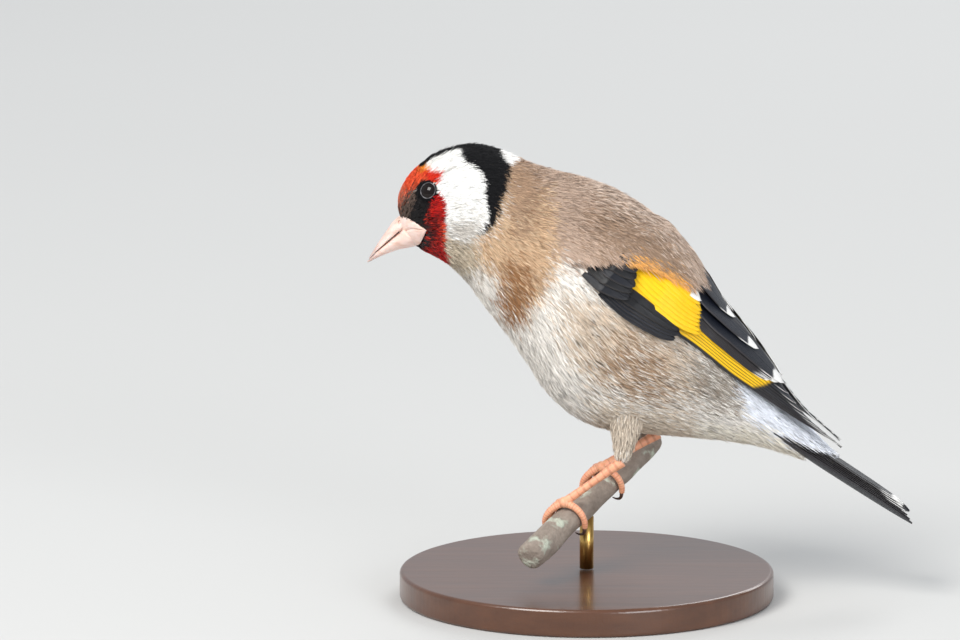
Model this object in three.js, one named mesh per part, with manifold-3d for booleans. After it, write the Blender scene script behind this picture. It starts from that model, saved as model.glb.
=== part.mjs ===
// A European goldfinch at life size. It grips a cut length of branch, which a rod and a round base hold up.
// Millimetres. +Z is up, the bird looks towards -X and its left side faces -Y.
// The origin is the centre of the base's underside.
import * as THREE from "three";
import { mergeVertices } from "three/addons/utils/BufferGeometryUtils.js";
import Module from "manifold-3d";

const wasm = await Module();
wasm.setup();

const GAP = 0.3; // free space between neighbouring pieces
const LEFT = -1;
const RIGHT = 1;
const UP = new THREE.Vector3(0, 0, 1);
const ACROSS = new THREE.Vector3(0, 1, 0);
const at = (x, y, z) => new THREE.Vector3(x, y, z);
const radians = THREE.MathUtils.degToRad;
const mix = THREE.MathUtils.lerp;
const group = new THREE.Group();

// Joining, cutting and naming

// A closed three.js geometry as a solid that can be joined and cut, with its faces turned outwards.
function solidOf(geometry) {
  const bare = geometry.clone();
  bare.deleteAttribute("normal");
  bare.deleteAttribute("uv");
  const merged = mergeVertices(bare, 1e-4);
  const vertProperties = new Float32Array(merged.attributes.position.array);
  const make = (triVerts) => new wasm.Manifold(new wasm.Mesh({ numProp: 3, vertProperties, triVerts }));
  const solid = make(new Uint32Array(merged.index.array));
  return solid.volume() > 0 ? solid : make(new Uint32Array(merged.index.array).reverse());
}

// The largest closed surface of a solid, without loose scraps or sealed hollows.
function largest(solid) {
  const pieces = solid.decompose();
  return pieces.reduce((a, b) => (b.volume() > a.volume() ? b : a));
}

const join = (pieces) => pieces.reduce((a, b) => a.add(b));

// Adds a solid to the group as one named mesh.
function addNode(name, solid, { color, roughness = 0.8, metalness = 0 }) {
  const mesh = solid.getMesh();
  const geometry = new THREE.BufferGeometry();
  const position = new Float32Array(mesh.numVert * 3);
  for (let i = 0; i < mesh.numVert; i++) {
    position.set(mesh.vertProperties.subarray(i * mesh.numProp, i * mesh.numProp + 3), i * 3);
  }
  geometry.setAttribute("position", new THREE.BufferAttribute(position, 3));
  geometry.setIndex(new THREE.BufferAttribute(mesh.triVerts, 1));
  geometry.computeVertexNormals();
  const node = new THREE.Mesh(geometry, new THREE.MeshStandardMaterial({ color, roughness, metalness }));
  node.name = name;
  group.add(node);
}

// Shapes

// A closed cylinder whose every vertex is placed by place(angle, share of the length, share of the radius).
function warpedCylinder(around, along, place) {
  const geometry = new THREE.CylinderGeometry(1, 1, 1, around, along);
  const position = geometry.attributes.position;
  for (let i = 0; i < position.count; i++) {
    const [x, y, z] = [position.getX(i), position.getY(i), position.getZ(i)];
    const p = place(Math.atan2(x, z), 0.5 - y, Math.hypot(x, z));
    position.setXYZ(i, p.x, p.y, p.z);
  }
  return solidOf(geometry);
}

// A solid through cross-sections in the mid plane, each from a top point to a bottom point with half a width.
// grow makes it fatter all round.
class Loft {
  constructor(sections) {
    const curve = (pick) => new THREE.CatmullRomCurve3(sections.map(pick), false, "centripetal");
    this.top = curve((s) => at(s.top[0], 0, s.top[1]));
    this.bottom = curve((s) => at(s.bottom[0], 0, s.bottom[1]));
    this.width = curve((s) => at(s.half, s.low ?? 0, 0));
    this.last = sections.length - 1;
  }
  // The point at share t of the length and at an angle from the top, 90 degrees being the side +Y.
  point(t, angle, grow = 0, share = 1) {
    const top = this.top.getPoint(t);
    const bottom = this.bottom.getPoint(t);
    const { x: half, y: low } = this.width.getPoint(t);
    const middle = top.clone().add(bottom).multiplyScalar(0.5);
    const rise = top.clone().sub(middle);
    const height = rise.length();
    const fullness = 1 - low * Math.cos(angle);
    return middle
      .addScaledVector(rise, (share * Math.cos(angle) * (height + grow)) / height)
      .addScaledVector(ACROSS, share * Math.sin(angle) * (half + grow) * fullness);
  }
  solid(around, along, grow = 0) {
    return warpedCylinder(around, along, (angle, t, share) => this.point(t, angle, grow, share));
  }
  // The surface point on one side whose place in the mid plane is (x, z), with its outward normal.
  side(x, z, sign) {
    let best = { gap: Infinity };
    for (let i = 0; i <= 400; i++) {
      const t = i / 400;
      const top = this.top.getPoint(t);
      const bottom = this.bottom.getPoint(t);
      const run = top.clone().sub(bottom);
      const from = at(x - bottom.x, 0, z - bottom.z);
      const gap = Math.abs(run.x * from.z - run.z * from.x) / run.length();
      const level = (2 * from.dot(run)) / run.lengthSq() - 1;
      if (gap < best.gap && Math.abs(level) < 1) best = { gap, t, angle: Math.acos(level) };
    }
    const { t, angle } = best;
    const step = 0.01;
    const along = this.point(t + step, angle * sign).sub(this.point(t - step, angle * sign));
    const round = this.point(t, (angle + step) * sign).sub(this.point(t, (angle - step) * sign));
    const normal = along.cross(round).normalize();
    if (normal.y * sign < 0) normal.negate();
    return { point: this.point(t, angle * sign), normal };
  }
}

// A round tube through points, with a radius at each, closed at both ends.
function tube(points, radii, sides, steps) {
  const path = new THREE.CatmullRomCurve3(points, false, "centripetal");
  const frames = path.computeFrenetFrames(steps, false);
  const size = new THREE.CatmullRomCurve3(radii.map((r) => at(r, 0, 0)));
  return warpedCylinder(sides, steps, (angle, t, share) => {
    const i = Math.round(t * steps);
    const r = share * Math.max(size.getPoint(t).x, 0.05);
    return path
      .getPoint(path.getUtoTmapping(i / steps))
      .addScaledVector(frames.normals[i], r * Math.cos(angle))
      .addScaledVector(frames.binormals[i], -r * Math.sin(angle));
  });
}

// A thin closed plate. surface(s, r) gives the middle point and the normal at s from root to tip and r from -1 to 1
// across, and thick(s) the thickness. Both faces are split into triangles alike.
function plate(rows, columns, surface, thick) {
  const points = [];
  for (const side of [1, -1]) {
    for (let i = 0; i <= rows; i++) {
      for (let j = 0; j <= columns; j++) {
        const { point, normal } = surface(i / rows, (2 * j) / columns - 1);
        points.push(...point.addScaledVector(normal, (side * thick(i / rows)) / 2));
      }
    }
  }
  const faces = [];
  const back = (rows + 1) * (columns + 1);
  const id = (i, j) => i * (columns + 1) + j;
  const quad = (a, b, c, d) => faces.push(a, b, c, a, c, d);
  for (let i = 0; i < rows; i++) {
    for (let j = 0; j < columns; j++) {
      const [a, b, c, d] = [id(i, j), id(i + 1, j), id(i + 1, j + 1), id(i, j + 1)];
      quad(a, b, c, d);
      faces.push(back + a, back + c, back + b, back + a, back + d, back + c);
    }
    quad(id(i + 1, 0), id(i, 0), back + id(i, 0), back + id(i + 1, 0));
    quad(id(i, columns), id(i + 1, columns), back + id(i + 1, columns), back + id(i, columns));
  }
  for (let j = 0; j < columns; j++) {
    quad(id(0, j), id(0, j + 1), back + id(0, j + 1), back + id(0, j));
    quad(id(rows, j + 1), id(rows, j), back + id(rows, j), back + id(rows, j + 1));
  }
  const geometry = new THREE.BufferGeometry();
  geometry.setAttribute("position", new THREE.Float32BufferAttribute(points, 3));
  geometry.setIndex(faces);
  return solidOf(geometry);
}

// Body, with the plumage that stands on it: head, neck, torso and rump

const BODY = [
  { top: [-40.3, 84.2], bottom: [-35.9, 75.8], half: 4.1 }, // feather line round the bill
  { top: [-39.9, 88.0], bottom: [-33.4, 74.7], half: 5.9, low: 0.05 },
  { top: [-36.9, 92.8], bottom: [-30.5, 73.1], half: 8.4, low: 0.08 }, // eyes
  { top: [-31.2, 96.8], bottom: [-28.1, 71.3], half: 9.8, low: 0.08 },
  { top: [-24.7, 98.5], bottom: [-26.4, 69.6], half: 10.4, low: 0.06 }, // crown
  { top: [-18.5, 97.0], bottom: [-24.9, 68.0], half: 10.8, low: 0.05 },
  { top: [-13.2, 94.6], bottom: [-23.2, 65.5], half: 11.5, low: 0.05 }, // nape
  { top: [-6.8, 92.5], bottom: [-20.7, 62.0], half: 13.0, low: 0.03 },
  { top: [0.6, 90.6], bottom: [-16.8, 57.0], half: 15.2 }, // shoulders
  { top: [7.4, 87.8], bottom: [-12.4, 50.4], half: 17.2 },
  { top: [13.8, 83.5], bottom: [-7.2, 43.2], half: 18.3 }, // deepest part
  { top: [19.8, 77.0], bottom: [1.2, 37.6], half: 18.0 },
  { top: [24.7, 69.4], bottom: [12.0, 36.0], half: 16.2 },
  { top: [29.6, 61.0], bottom: [22.6, 35.0], half: 12.8 }, // rump
  { top: [36.1, 51.6], bottom: [31.6, 33.9], half: 8.8 },
  { top: [43.2, 42.2], bottom: [40.0, 32.1], half: 5.9 },
  { top: [50.0, 34.5], bottom: [47.0, 29.6], half: 4.0 }, // tail coverts
  { top: [53.8, 30.8], bottom: [51.2, 27.8], half: 2.8 },
];
const NAPE = 6;
const SHOULDERS = 8.4;
const RUMP = 12.3;
const body = new Loft(BODY);
const BODY_SIDES = 28;
const BODY_RINGS = 36;

// The part of a solid between two cross-sections of the body, half a gap inside each.
function between(solid, first, last) {
  const cut = (piece, section, sense) => {
    const top = body.top.getPoint(section / body.last);
    const bottom = body.bottom.getPoint(section / body.last);
    const normal = top.clone().sub(bottom).cross(ACROSS).normalize().multiplyScalar(sense);
    if (normal.x * sense < 0) normal.negate();
    return piece.trimByPlane(normal.toArray(), normal.dot(top) + GAP / 2);
  };
  const front = first === null ? solid : cut(solid, first, 1);
  return largest(last === null ? front : cut(front, last, -1));
}

const feathered = body.solid(BODY_SIDES, BODY_RINGS);
const clearOfBody = body.solid(BODY_SIDES, BODY_RINGS, GAP);

// Bill: two horny mandibles, parted along the line of the mouth, set into the head

const BILL = [
  { top: [-35.6, 84.0], bottom: [-32.6, 77.6], half: 3.5 }, // root, inside the head
  { top: [-38.6, 83.6], bottom: [-35.0, 76.6], half: 3.5 },
  { top: [-40.9, 82.2], bottom: [-37.6, 76.0], half: 3.25 },
  { top: [-42.7, 79.7], bottom: [-40.2, 75.5], half: 2.6 },
  { top: [-44.7, 76.7], bottom: [-42.9, 74.5], half: 1.6 },
  { top: [-46.1, 74.3], bottom: [-45.2, 73.5], half: 0.75 },
  { top: [-46.75, 72.9], bottom: [-46.5, 72.8], half: 0.2 }, // tip
];
const MOUTH = [
  [-47.5, 72.2],
  [-44.8, 75.2],
  [-42.4, 77.4],
  [-38.8, 80.7],
  [-34.9, 79.4],
  [-30.0, 77.9],
];
const BILL_HALF_WIDTH = 6;
const bill = new Loft(BILL);

// A sheet a gap thick that follows the line of the mouth across the bill.
function mouthLine() {
  const shape = new THREE.Shape();
  MOUTH.forEach(([x, z], i) => (i ? shape.lineTo(x, z + GAP / 2) : shape.moveTo(x, z + GAP / 2)));
  [...MOUTH].reverse().forEach(([x, z]) => shape.lineTo(x, z - GAP / 2));
  const sheet = new THREE.ExtrudeGeometry(shape, { depth: 2 * BILL_HALF_WIDTH, bevelEnabled: false });
  sheet.rotateX(Math.PI / 2).translate(0, BILL_HALF_WIDTH, 0);
  return solidOf(sheet);
}

const NOSTRIL = { x: -39.9, z: 81.9, y: 1.9, radius: 0.45 };

function nostril(sign) {
  const pit = new THREE.SphereGeometry(NOSTRIL.radius, 8, 6);
  return solidOf(pit.translate(NOSTRIL.x, sign * NOSTRIL.y, NOSTRIL.z));
}

const HORN = { color: 0xe8c9bd, roughness: 0.45 };
const mandibles = bill
  .solid(14, 14)
  .subtract(mouthLine())
  .decompose()
  .sort((a, b) => b.boundingBox().max[2] - a.boundingBox().max[2]);
addNode("bill_upper", largest(mandibles[0].subtract(nostril(LEFT)).subtract(nostril(RIGHT))), HORN);
addNode("bill_lower", mandibles[1], HORN);

// Eyes, sunk in the head, and the lids round them

const EYE = { x: -33.8, z: 89.5, radius: 2.6, opening: 1.75 };
const EYE_DEPTH = Math.sqrt(EYE.radius ** 2 - EYE.opening ** 2);
const LID = { radius: 1.95, tube: 0.36 };

function eye(sign) {
  const { point, normal } = body.side(EYE.x, EYE.z, sign);
  const centre = point.clone().addScaledVector(normal, -EYE_DEPTH);
  const turn = new THREE.Quaternion().setFromUnitVectors(UP, normal);
  const place = (geometry, where) => solidOf(geometry.applyQuaternion(turn).translate(...where));
  return {
    ball: place(new THREE.SphereGeometry(EYE.radius, 16, 10), centre),
    socket: place(new THREE.SphereGeometry(EYE.radius + GAP, 14, 9), centre),
    lid: place(new THREE.TorusGeometry(LID.radius, LID.tube, 6, 16), point),
  };
}

const PUPIL = { color: 0x120d0b, roughness: 0.1 };
const eyes = { left: eye(LEFT), right: eye(RIGHT) };
addNode("eye_left", eyes.left.ball, PUPIL);
addNode("eye_right", eyes.right.ball, PUPIL);

// The head carries the lids, the eye sockets and the seat of the bill.

const head = between(feathered, null, NAPE)
  .add(eyes.left.lid)
  .add(eyes.right.lid)
  .subtract(eyes.left.socket)
  .subtract(eyes.right.socket)
  .subtract(bill.solid(14, 10, GAP));
addNode("head", largest(head), { color: 0xf2efe9 });
addNode("neck", between(feathered, NAPE, SHOULDERS), { color: 0xb48a64 });
addNode("torso", between(feathered, SHOULDERS, RUMP), { color: 0xc4a48a });
addNode("rump", between(feathered, RUMP, null), { color: 0xe9e6e2 });

// Wings, folded against the flanks

// The folded wings' outer surface, along an axis that slopes from the shoulder to the wing tips.
const WING_START = at(-2.6, 0, 72.8);
const WING_SLOPE = radians(34);
const WING_AXIS = at(Math.cos(WING_SLOPE), 0, -Math.sin(WING_SLOPE));
const WING_OUT = at(Math.sin(WING_SLOPE), 0, Math.cos(WING_SLOPE));
const WING_STEP = 10; // distance between the rows below
const WING_HULL = [
  { middle: -2.5, height: 20.9, half: 17.1 },
  { middle: -4.6, height: 22.4, half: 18.6 },
  { middle: -5.0, height: 20.0, half: 18.2 },
  { middle: -2.9, height: 13.2, half: 15.2 },
  { middle: -2.9, height: 10.3, half: 11.6 },
  { middle: -1.7, height: 5.6, half: 8.3 },
  { middle: -0.9, height: 1.3, half: 6.1 },
  { middle: -1.2, height: 0.3, half: 4.0 },
];
const wingCurve = new THREE.CatmullRomCurve3(WING_HULL.map((s) => at(s.middle, s.height, s.half)));

// The point on the wing's outer surface at a distance along its axis and an angle in degrees from the back.
function wingPoint(sign, along, angle) {
  const share = THREE.MathUtils.clamp(along / WING_STEP / (WING_HULL.length - 1), 0, 1);
  const { x: middle, y: height, z: half } = wingCurve.getPoint(share);
  const a = radians(angle);
  return WING_START.clone()
    .addScaledVector(WING_AXIS, along)
    .addScaledVector(WING_OUT, middle + height * Math.cos(a))
    .addScaledVector(ACROSS, sign * half * Math.sin(a));
}

function wingNormal(sign, along, angle) {
  const run = wingPoint(sign, along + 0.5, angle).sub(wingPoint(sign, along - 0.5, angle));
  const round = wingPoint(sign, along, angle + 1).sub(wingPoint(sign, along, angle - 1));
  const normal = run.cross(round).normalize();
  return normal.y * sign < 0 ? normal.negate() : normal;
}

const VANE_THICK = 0.55;
const VANE_TIP_THICK = 0.3;
const ROOT_WIDTH = 0.55; // share of the full width at the root
const SUNK = -0.4; // lift of every root, so that it lies under the row before it

// Share of a feather's full width along its length: narrow at the root, full in the middle, rounded at the tip.
function outline(s, roundness) {
  const root = mix(ROOT_WIDTH, 1, Math.min(1, s * 2.5));
  return root * Math.pow(Math.max(1 - Math.pow(s, roundness), 0.02), 0.5);
}

// One feather on the wing's surface. lift raises it, and tilt raises its lower edge over the next feather.
function wingVane(sign, { root, tip, width, lift, tilt = 0.35, roundness = 5 }, rows = 4) {
  const middle = (s) => wingPoint(sign, mix(root[0], tip[0], s), mix(root[1], tip[1], s));
  return plate(
    rows,
    2,
    (s, r) => {
      const normal = wingNormal(sign, mix(root[0], tip[0], s), mix(root[1], tip[1], s));
      const run = middle(Math.min(s + 0.05, 1)).sub(middle(Math.max(s - 0.05, 0))).normalize();
      const down = run.cross(normal).normalize().multiplyScalar(-sign);
      const half = (width / 2) * outline(s, roundness);
      const point = middle(s)
        .addScaledVector(down, -r * half)
        .addScaledVector(normal, mix(SUNK, lift, Math.min(1, 2 * s)) - tilt * r);
      return { point, normal };
    },
    (s) => mix(VANE_THICK, VANE_TIP_THICK, s * s),
  );
}

// A row of like feathers whose roots, tips and widths run evenly from the first to the last.
function row(count, first, last) {
  return Array.from({ length: count }, (_, i) => {
    const share = count > 1 ? i / (count - 1) : 0;
    const pair = (key) => first[key].map((value, k) => mix(value, last[key][k], share));
    return {
      root: pair("root"),
      tip: pair("tip"),
      width: mix(first.width, last.width, share),
      lift: mix(first.lift, last.lift, share),
      roundness: first.roundness,
    };
  });
}

// Distance along the wing and angle from the back, for the first (upper) and the last (lower) feather of each tier.
const TIERS = {
  tertials: row(
    3,
    { root: [16, 24], tip: [34, 16], width: 7.6, lift: 1.0, roundness: 4 },
    { root: [19, 35], tip: [50.5, 26], width: 6.4, lift: 0.8 },
  ),
  secondaries: row(
    4,
    { root: [20, 42], tip: [49.5, 34], width: 5.4, lift: 0.7, roundness: 6 },
    { root: [22, 56], tip: [47.5, 51], width: 5.0, lift: 0.5 },
  ),
  primaries: row(
    7,
    { root: [21, 56], tip: [53, 36], width: 4.2, lift: 0.4, roundness: 5 },
    { root: [21, 71], tip: [69.3, 62], width: 3.2, lift: 0.1 },
  ),
  greaterCoverts: row(
    5,
    { root: [9, 36], tip: [26, 36], width: 6.4, lift: 1.3, roundness: 4 },
    { root: [12, 59], tip: [29.5, 57], width: 5.6, lift: 1.1 },
  ),
  primaryCoverts: row(
    3,
    { root: [8, 63], tip: [25.5, 64.5], width: 4.2, lift: 1.0, roundness: 4 },
    { root: [8, 71], tip: [25, 71.5], width: 3.8, lift: 0.7 },
  ),
  medianCoverts: row(
    4,
    { root: [1, 42], tip: [13, 42], width: 6.2, lift: 1.6, roundness: 4 },
    { root: [2, 66], tip: [14, 63], width: 5.8, lift: 1.4 },
  ),
};

// The flesh of the arm and the bases of the feathers: a pad on the flank that thins out behind.
const ARM = { along: [1, 54], angle: [15, 71], inside: [2.2, 0.9], outside: 0.6 };

function arm(sign) {
  const edge = (share) => Math.pow(Math.sin(Math.PI * share), 0.5);
  return plate(
    8,
    5,
    (s, r) => {
      const across = (r + 1) / 2;
      const along = mix(...ARM.along, s);
      const angle = mix(...ARM.angle, across);
      const normal = wingNormal(sign, along, angle);
      const swell = (ARM.outside - mix(...ARM.inside, s)) / 2 - 0.7 * (1 - edge(s) * edge(across));
      return { point: wingPoint(sign, along, angle).addScaledVector(normal, swell), normal };
    },
    (s) => mix(...ARM.inside, s) + ARM.outside,
  );
}

function wing(sign) {
  const feathers = Object.values(TIERS)
    .flat()
    .map((feather) => wingVane(sign, feather));
  const whole = join([arm(sign), ...feathers]).trimByPlane([0, sign, 0], GAP / 2);
  return largest(whole.subtract(clearOfBody));
}

const WING = { color: 0x17161a, roughness: 0.6 };
addNode("wing_left", wing(LEFT), WING);
addNode("wing_right", wing(RIGHT), WING);

// Tail: twelve feathers in a closed, forked fan, the middle pair on top

const TAIL = {
  root: [at(40.5, 0.4, 38.6), at(38.0, 4.6, 37.5)], // middle and outer feather of the right half
  tip: [at(66.9, 1.2, 20.9), at(69.3, 6.2, 17.4)],
  pairs: 6,
  width: 5.6,
  roll: radians(20), // tilt of the outer feathers, outer edge down
};

function tailVane(sign, pair) {
  const share = pair / (TAIL.pairs - 1);
  const [root, tip] = [TAIL.root, TAIL.tip].map(([inner, outer]) => inner.clone().lerp(outer, share));
  root.y *= sign;
  tip.y *= sign;
  const run = tip.clone().sub(root).normalize();
  const normal = ACROSS.clone().cross(run).normalize().applyAxisAngle(run, -sign * TAIL.roll * share);
  const side = run.clone().cross(normal);
  return plate(
    4,
    2,
    (s, r) => ({
      point: root.clone().lerp(tip, s).addScaledVector(side, r * (TAIL.width / 2) * outline(s, 5)),
      normal,
    }),
    (s) => mix(VANE_THICK, VANE_TIP_THICK, s * s),
  );
}

function tail() {
  const vanes = [];
  for (let pair = 0; pair < TAIL.pairs; pair++) {
    vanes.push(tailVane(LEFT, pair), tailVane(RIGHT, pair));
  }
  return largest(join(vanes).subtract(clearOfBody));
}

addNode("tail", tail(), { color: 0x1a191d, roughness: 0.6 });

// Perch: a cut length of branch that rises away from the left foot

const PERCH = {
  middle: at(0, 0, 20.7),
  run: at(0.52, 0.78, 0.334).normalize(),
  radius: 2.9,
  before: 24,
  beyond: 28,
};
const PERCH_UP = UP.clone().addScaledVector(PERCH.run, -UP.dot(PERCH.run)).normalize();
const PERCH_FORWARD = PERCH_UP.clone().cross(PERCH.run).normalize();

// A point by its distance along the perch, its angle from the top towards the front, and its distance from the axis.
function perchPoint(along, angle, distance) {
  return PERCH.middle
    .clone()
    .addScaledVector(PERCH.run, along)
    .addScaledVector(PERCH_UP, distance * Math.cos(angle))
    .addScaledVector(PERCH_FORWARD, distance * Math.sin(angle));
}

// Legs and feet

const LEGS = {
  left: { hip: at(8.8, -8.4, 45.0), ankle: at(7.4, -8.0, 31.2), foot: -7.7 },
  right: { hip: at(16.8, 8.6, 45.0), ankle: at(15.4, 8.0, 34.0), foot: 7.7 },
};
const TOE = { root: 0.85, end: 0.6 };
const TOE_STEPS = 6;
const FOOT_RISE = PERCH.radius + GAP + TOE.root;
// Each toe's angle round the perch where it ends, in degrees, and how far it has spread along the perch by then.
const TOES = [
  { name: "hind", end: -112, spread: 0.2, start: -8 },
  { name: "inner", end: 92, spread: -2.9, start: 8 },
  { name: "middle", end: 128, spread: -0.1, start: 8 },
  { name: "outer", end: 100, spread: 2.7, start: 8 },
];
// A claw's radii from root to point, its turn round the perch and its first turn past the toe, both in degrees,
// and how far it bows out and then bends in.
const CLAW = { radii: [0.5, 0.425, 0.275, 0.12], turn: 46, start: 4, bow: 0.5, bend: 0.75 };

function toePath(foot, toe) {
  return Array.from({ length: TOE_STEPS + 1 }, (_, i) => {
    const share = i / TOE_STEPS;
    const angle = radians(mix(toe.start, toe.end, share));
    return perchPoint(foot + toe.spread * Math.sin((share * Math.PI) / 2), angle, FOOT_RISE);
  });
}

function toe(foot, which, grow) {
  return tube(toePath(foot, which), [TOE.root + grow, TOE.end + grow], 7, TOE_STEPS);
}

// A claw goes on round the perch from the end of its toe, bending in until its point meets the bark.
function claw(foot, which, grow = 0) {
  const way = Math.sign(which.end);
  const points = [0, 0.35, 0.7, 1].map((s) => {
    const angle = radians(which.end + way * (CLAW.start + CLAW.turn * s));
    const rise = CLAW.bow * Math.sin(Math.PI * s) - CLAW.bend * s * s;
    return perchPoint(foot + which.spread, angle, FOOT_RISE + rise);
  });
  return tube(points, CLAW.radii.map((radius) => radius + grow), 6, 5);
}

// The room that a claw takes in the end of its toe.
function clawRoot(foot, which) {
  const way = Math.sign(which.end);
  const points = [-1, 8].map((degrees) =>
    perchPoint(foot + which.spread, radians(which.end + way * (CLAW.start + degrees)), FOOT_RISE),
  );
  const radius = CLAW.radii[0] + GAP;
  return tube(points, [radius, radius], 6, 1);
}

const footCentre = (leg) => perchPoint(leg.foot, 0, FOOT_RISE + 0.3);

function footSolid(leg, grow = 0) {
  const pad = new THREE.SphereGeometry(1.25 + grow, 10, 7).translate(...footCentre(leg));
  return join([solidOf(pad), ...TOES.map((which) => toe(leg.foot, which, grow))]);
}

function tarsus(leg, grow = 0) {
  const foot = footCentre(leg);
  const points = [leg.ankle, leg.ankle.clone().lerp(foot, 0.5), foot];
  return tube(points, [1.05 + grow, 0.78 + grow, 0.95 + grow], 8, 6);
}

function thigh(leg, grow = 0) {
  const middle = leg.hip.clone().lerp(leg.ankle, 0.5);
  return tube([leg.hip, middle, leg.ankle], [4.6 + grow, 3.1 + grow, 1.25 + grow], 12, 6);
}

const LEG_SKIN = { color: 0xd99a78, roughness: 0.5 };
const CLAWS = { color: 0x6e5146, roughness: 0.4 };
for (const [side, leg] of Object.entries(LEGS)) {
  const ankle = solidOf(new THREE.SphereGeometry(1.3, 10, 7).translate(...leg.ankle));
  const perchCore = tube([perchPoint(-20, 0, 0), perchPoint(20, 0, 0)], [PERCH.radius, PERCH.radius], 16, 4);
  const foot = footSolid(leg).subtract(perchCore);
  const claws = TOES.map((which) => claw(leg.foot, which));
  addNode(`thigh_${side}`, largest(thigh(leg).subtract(clearOfBody)), { color: 0xd8cfc4 });
  const shin = tarsus(leg).add(ankle).subtract(thigh(leg, GAP)).subtract(footSolid(leg, GAP)).subtract(clearOfBody);
  addNode(`tarsus_${side}`, largest(shin), LEG_SKIN);
  const parted = TOES.reduce((solid, which) => solid.subtract(clawRoot(leg.foot, which)), foot);
  addNode(`foot_${side}`, largest(parted), LEG_SKIN);
  TOES.forEach((which, i) => {
    addNode(`claw_${side}_${which.name}`, claws[i], CLAWS);
  });
}

// Bark: gentle waves, two cut ends and the stub of a side twig

const BARK_WAVE = 0.16;
const STUB = { along: 17, angle: radians(-35), length: 7, radius: 1.35 };

function perchBranch() {
  const length = PERCH.before + PERCH.beyond;
  const wood = warpedCylinder(16, 20, (angle, t, share) => {
    const along = t * length - PERCH.before;
    const wave = Math.sin(3 * angle + 0.31 * along) + Math.sin(2 * angle - 0.47 * along + 1.3);
    const knot = 0.5 * Math.exp(-(((along - 15) / 3.5) ** 2));
    return perchPoint(along, -angle, share * (PERCH.radius + BARK_WAVE * wave + knot - 0.01 * along));
  });
  const stub = tube(
    [
      perchPoint(STUB.along, STUB.angle, 0.5),
      perchPoint(STUB.along + 1.5, STUB.angle, PERCH.radius + 2),
      perchPoint(STUB.along + 4, STUB.angle, PERCH.radius + STUB.length - 2),
    ],
    [STUB.radius * 1.3, STUB.radius, STUB.radius * 0.8],
    10,
    6,
  );
  const feet = Object.values(LEGS).map((leg) => footSolid(leg, GAP));
  const claws = Object.values(LEGS).flatMap((leg) => TOES.map((which) => claw(leg.foot, which, GAP)));
  return largest([...feet, ...claws].reduce((a, b) => a.subtract(b), wood.add(stub)));
}

const perch = perchBranch();
addNode("perch_branch", perch, { color: 0x9a8f86, roughness: 0.95 });

// Stand: a round wooden base and one metal rod up to the perch

const BASE = { radius: 40, height: 6, chamfer: 0.8 };
const ROD = { radius: 1.5, sides: 24 };

function base() {
  const { radius, height, chamfer } = BASE;
  const profile = [
    [0, 0],
    [radius - chamfer, 0],
    [radius, chamfer],
    [radius, height - chamfer],
    [radius - chamfer, height],
    [0, height],
  ].map(([r, z]) => new THREE.Vector2(r, z));
  return solidOf(new THREE.LatheGeometry(profile, 40).rotateX(Math.PI / 2));
}

function rod() {
  const bottom = BASE.height + GAP;
  const height = PERCH.middle.z - bottom;
  const bar = new THREE.CylinderGeometry(ROD.radius, ROD.radius, height, ROD.sides).rotateX(Math.PI / 2);
  bar.translate(0, 0, bottom + height / 2);
  const seat = tube([perchPoint(-6, 0, 0), perchPoint(6, 0, 0)], [PERCH.radius + 0.6, PERCH.radius + 0.6], 20, 2);
  return largest(solidOf(bar).subtract(seat));
}

addNode("stand_base", base(), { color: 0x5a3b26, roughness: 0.5 });
addNode("stand_rod", rod(), { color: 0xb59a5c, roughness: 0.3, metalness: 1 });

export default group;
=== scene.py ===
import math
import bmesh
import bpy
import numpy as np
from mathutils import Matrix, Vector


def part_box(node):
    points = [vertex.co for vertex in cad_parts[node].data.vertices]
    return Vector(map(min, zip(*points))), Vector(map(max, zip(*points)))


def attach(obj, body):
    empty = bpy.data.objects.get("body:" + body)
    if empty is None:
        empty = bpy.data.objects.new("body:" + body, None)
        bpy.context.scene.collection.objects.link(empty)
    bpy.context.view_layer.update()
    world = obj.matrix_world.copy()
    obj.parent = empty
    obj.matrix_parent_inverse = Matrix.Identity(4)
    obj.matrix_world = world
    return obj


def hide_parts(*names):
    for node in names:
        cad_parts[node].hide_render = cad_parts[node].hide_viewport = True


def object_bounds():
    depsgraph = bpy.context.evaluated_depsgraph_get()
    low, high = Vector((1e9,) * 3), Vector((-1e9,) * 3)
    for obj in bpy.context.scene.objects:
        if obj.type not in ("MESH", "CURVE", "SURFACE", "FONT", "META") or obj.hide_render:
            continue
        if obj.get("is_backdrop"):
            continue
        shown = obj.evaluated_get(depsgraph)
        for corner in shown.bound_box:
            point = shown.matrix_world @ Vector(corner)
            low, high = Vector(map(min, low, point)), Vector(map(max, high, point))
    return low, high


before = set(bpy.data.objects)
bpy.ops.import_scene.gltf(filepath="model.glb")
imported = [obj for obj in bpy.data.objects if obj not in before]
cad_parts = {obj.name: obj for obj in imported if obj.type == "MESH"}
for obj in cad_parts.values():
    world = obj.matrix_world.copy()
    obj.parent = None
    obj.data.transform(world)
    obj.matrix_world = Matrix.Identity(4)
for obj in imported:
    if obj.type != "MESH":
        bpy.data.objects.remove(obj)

cad_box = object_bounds()
MM = 0.001

# The view and the light. The camera looks along +Y from 11 degrees above the bird, through a long lens.
# Three soft square lamps and a pale sky light it, as in a studio.
ELEVATION = math.radians(11)
LENS = 350
DISTANCE = 1.986
AIM = Vector((-22.8, 0, 60.3)) * MM
toward = Vector((0, math.cos(ELEVATION), -math.sin(ELEVATION)))
camera = bpy.data.objects.new("camera", bpy.data.cameras.new("camera"))
camera.data.lens = LENS
camera.data.sensor_width = 36
camera.data.clip_start = 0.05
camera.location = AIM - DISTANCE * toward
camera.rotation_euler = toward.to_track_quat("-Z", "Y").to_euler()
bpy.context.scene.collection.objects.link(camera)
bpy.context.scene.camera = camera
bpy.context.scene.view_settings.view_transform = "Standard"


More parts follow.
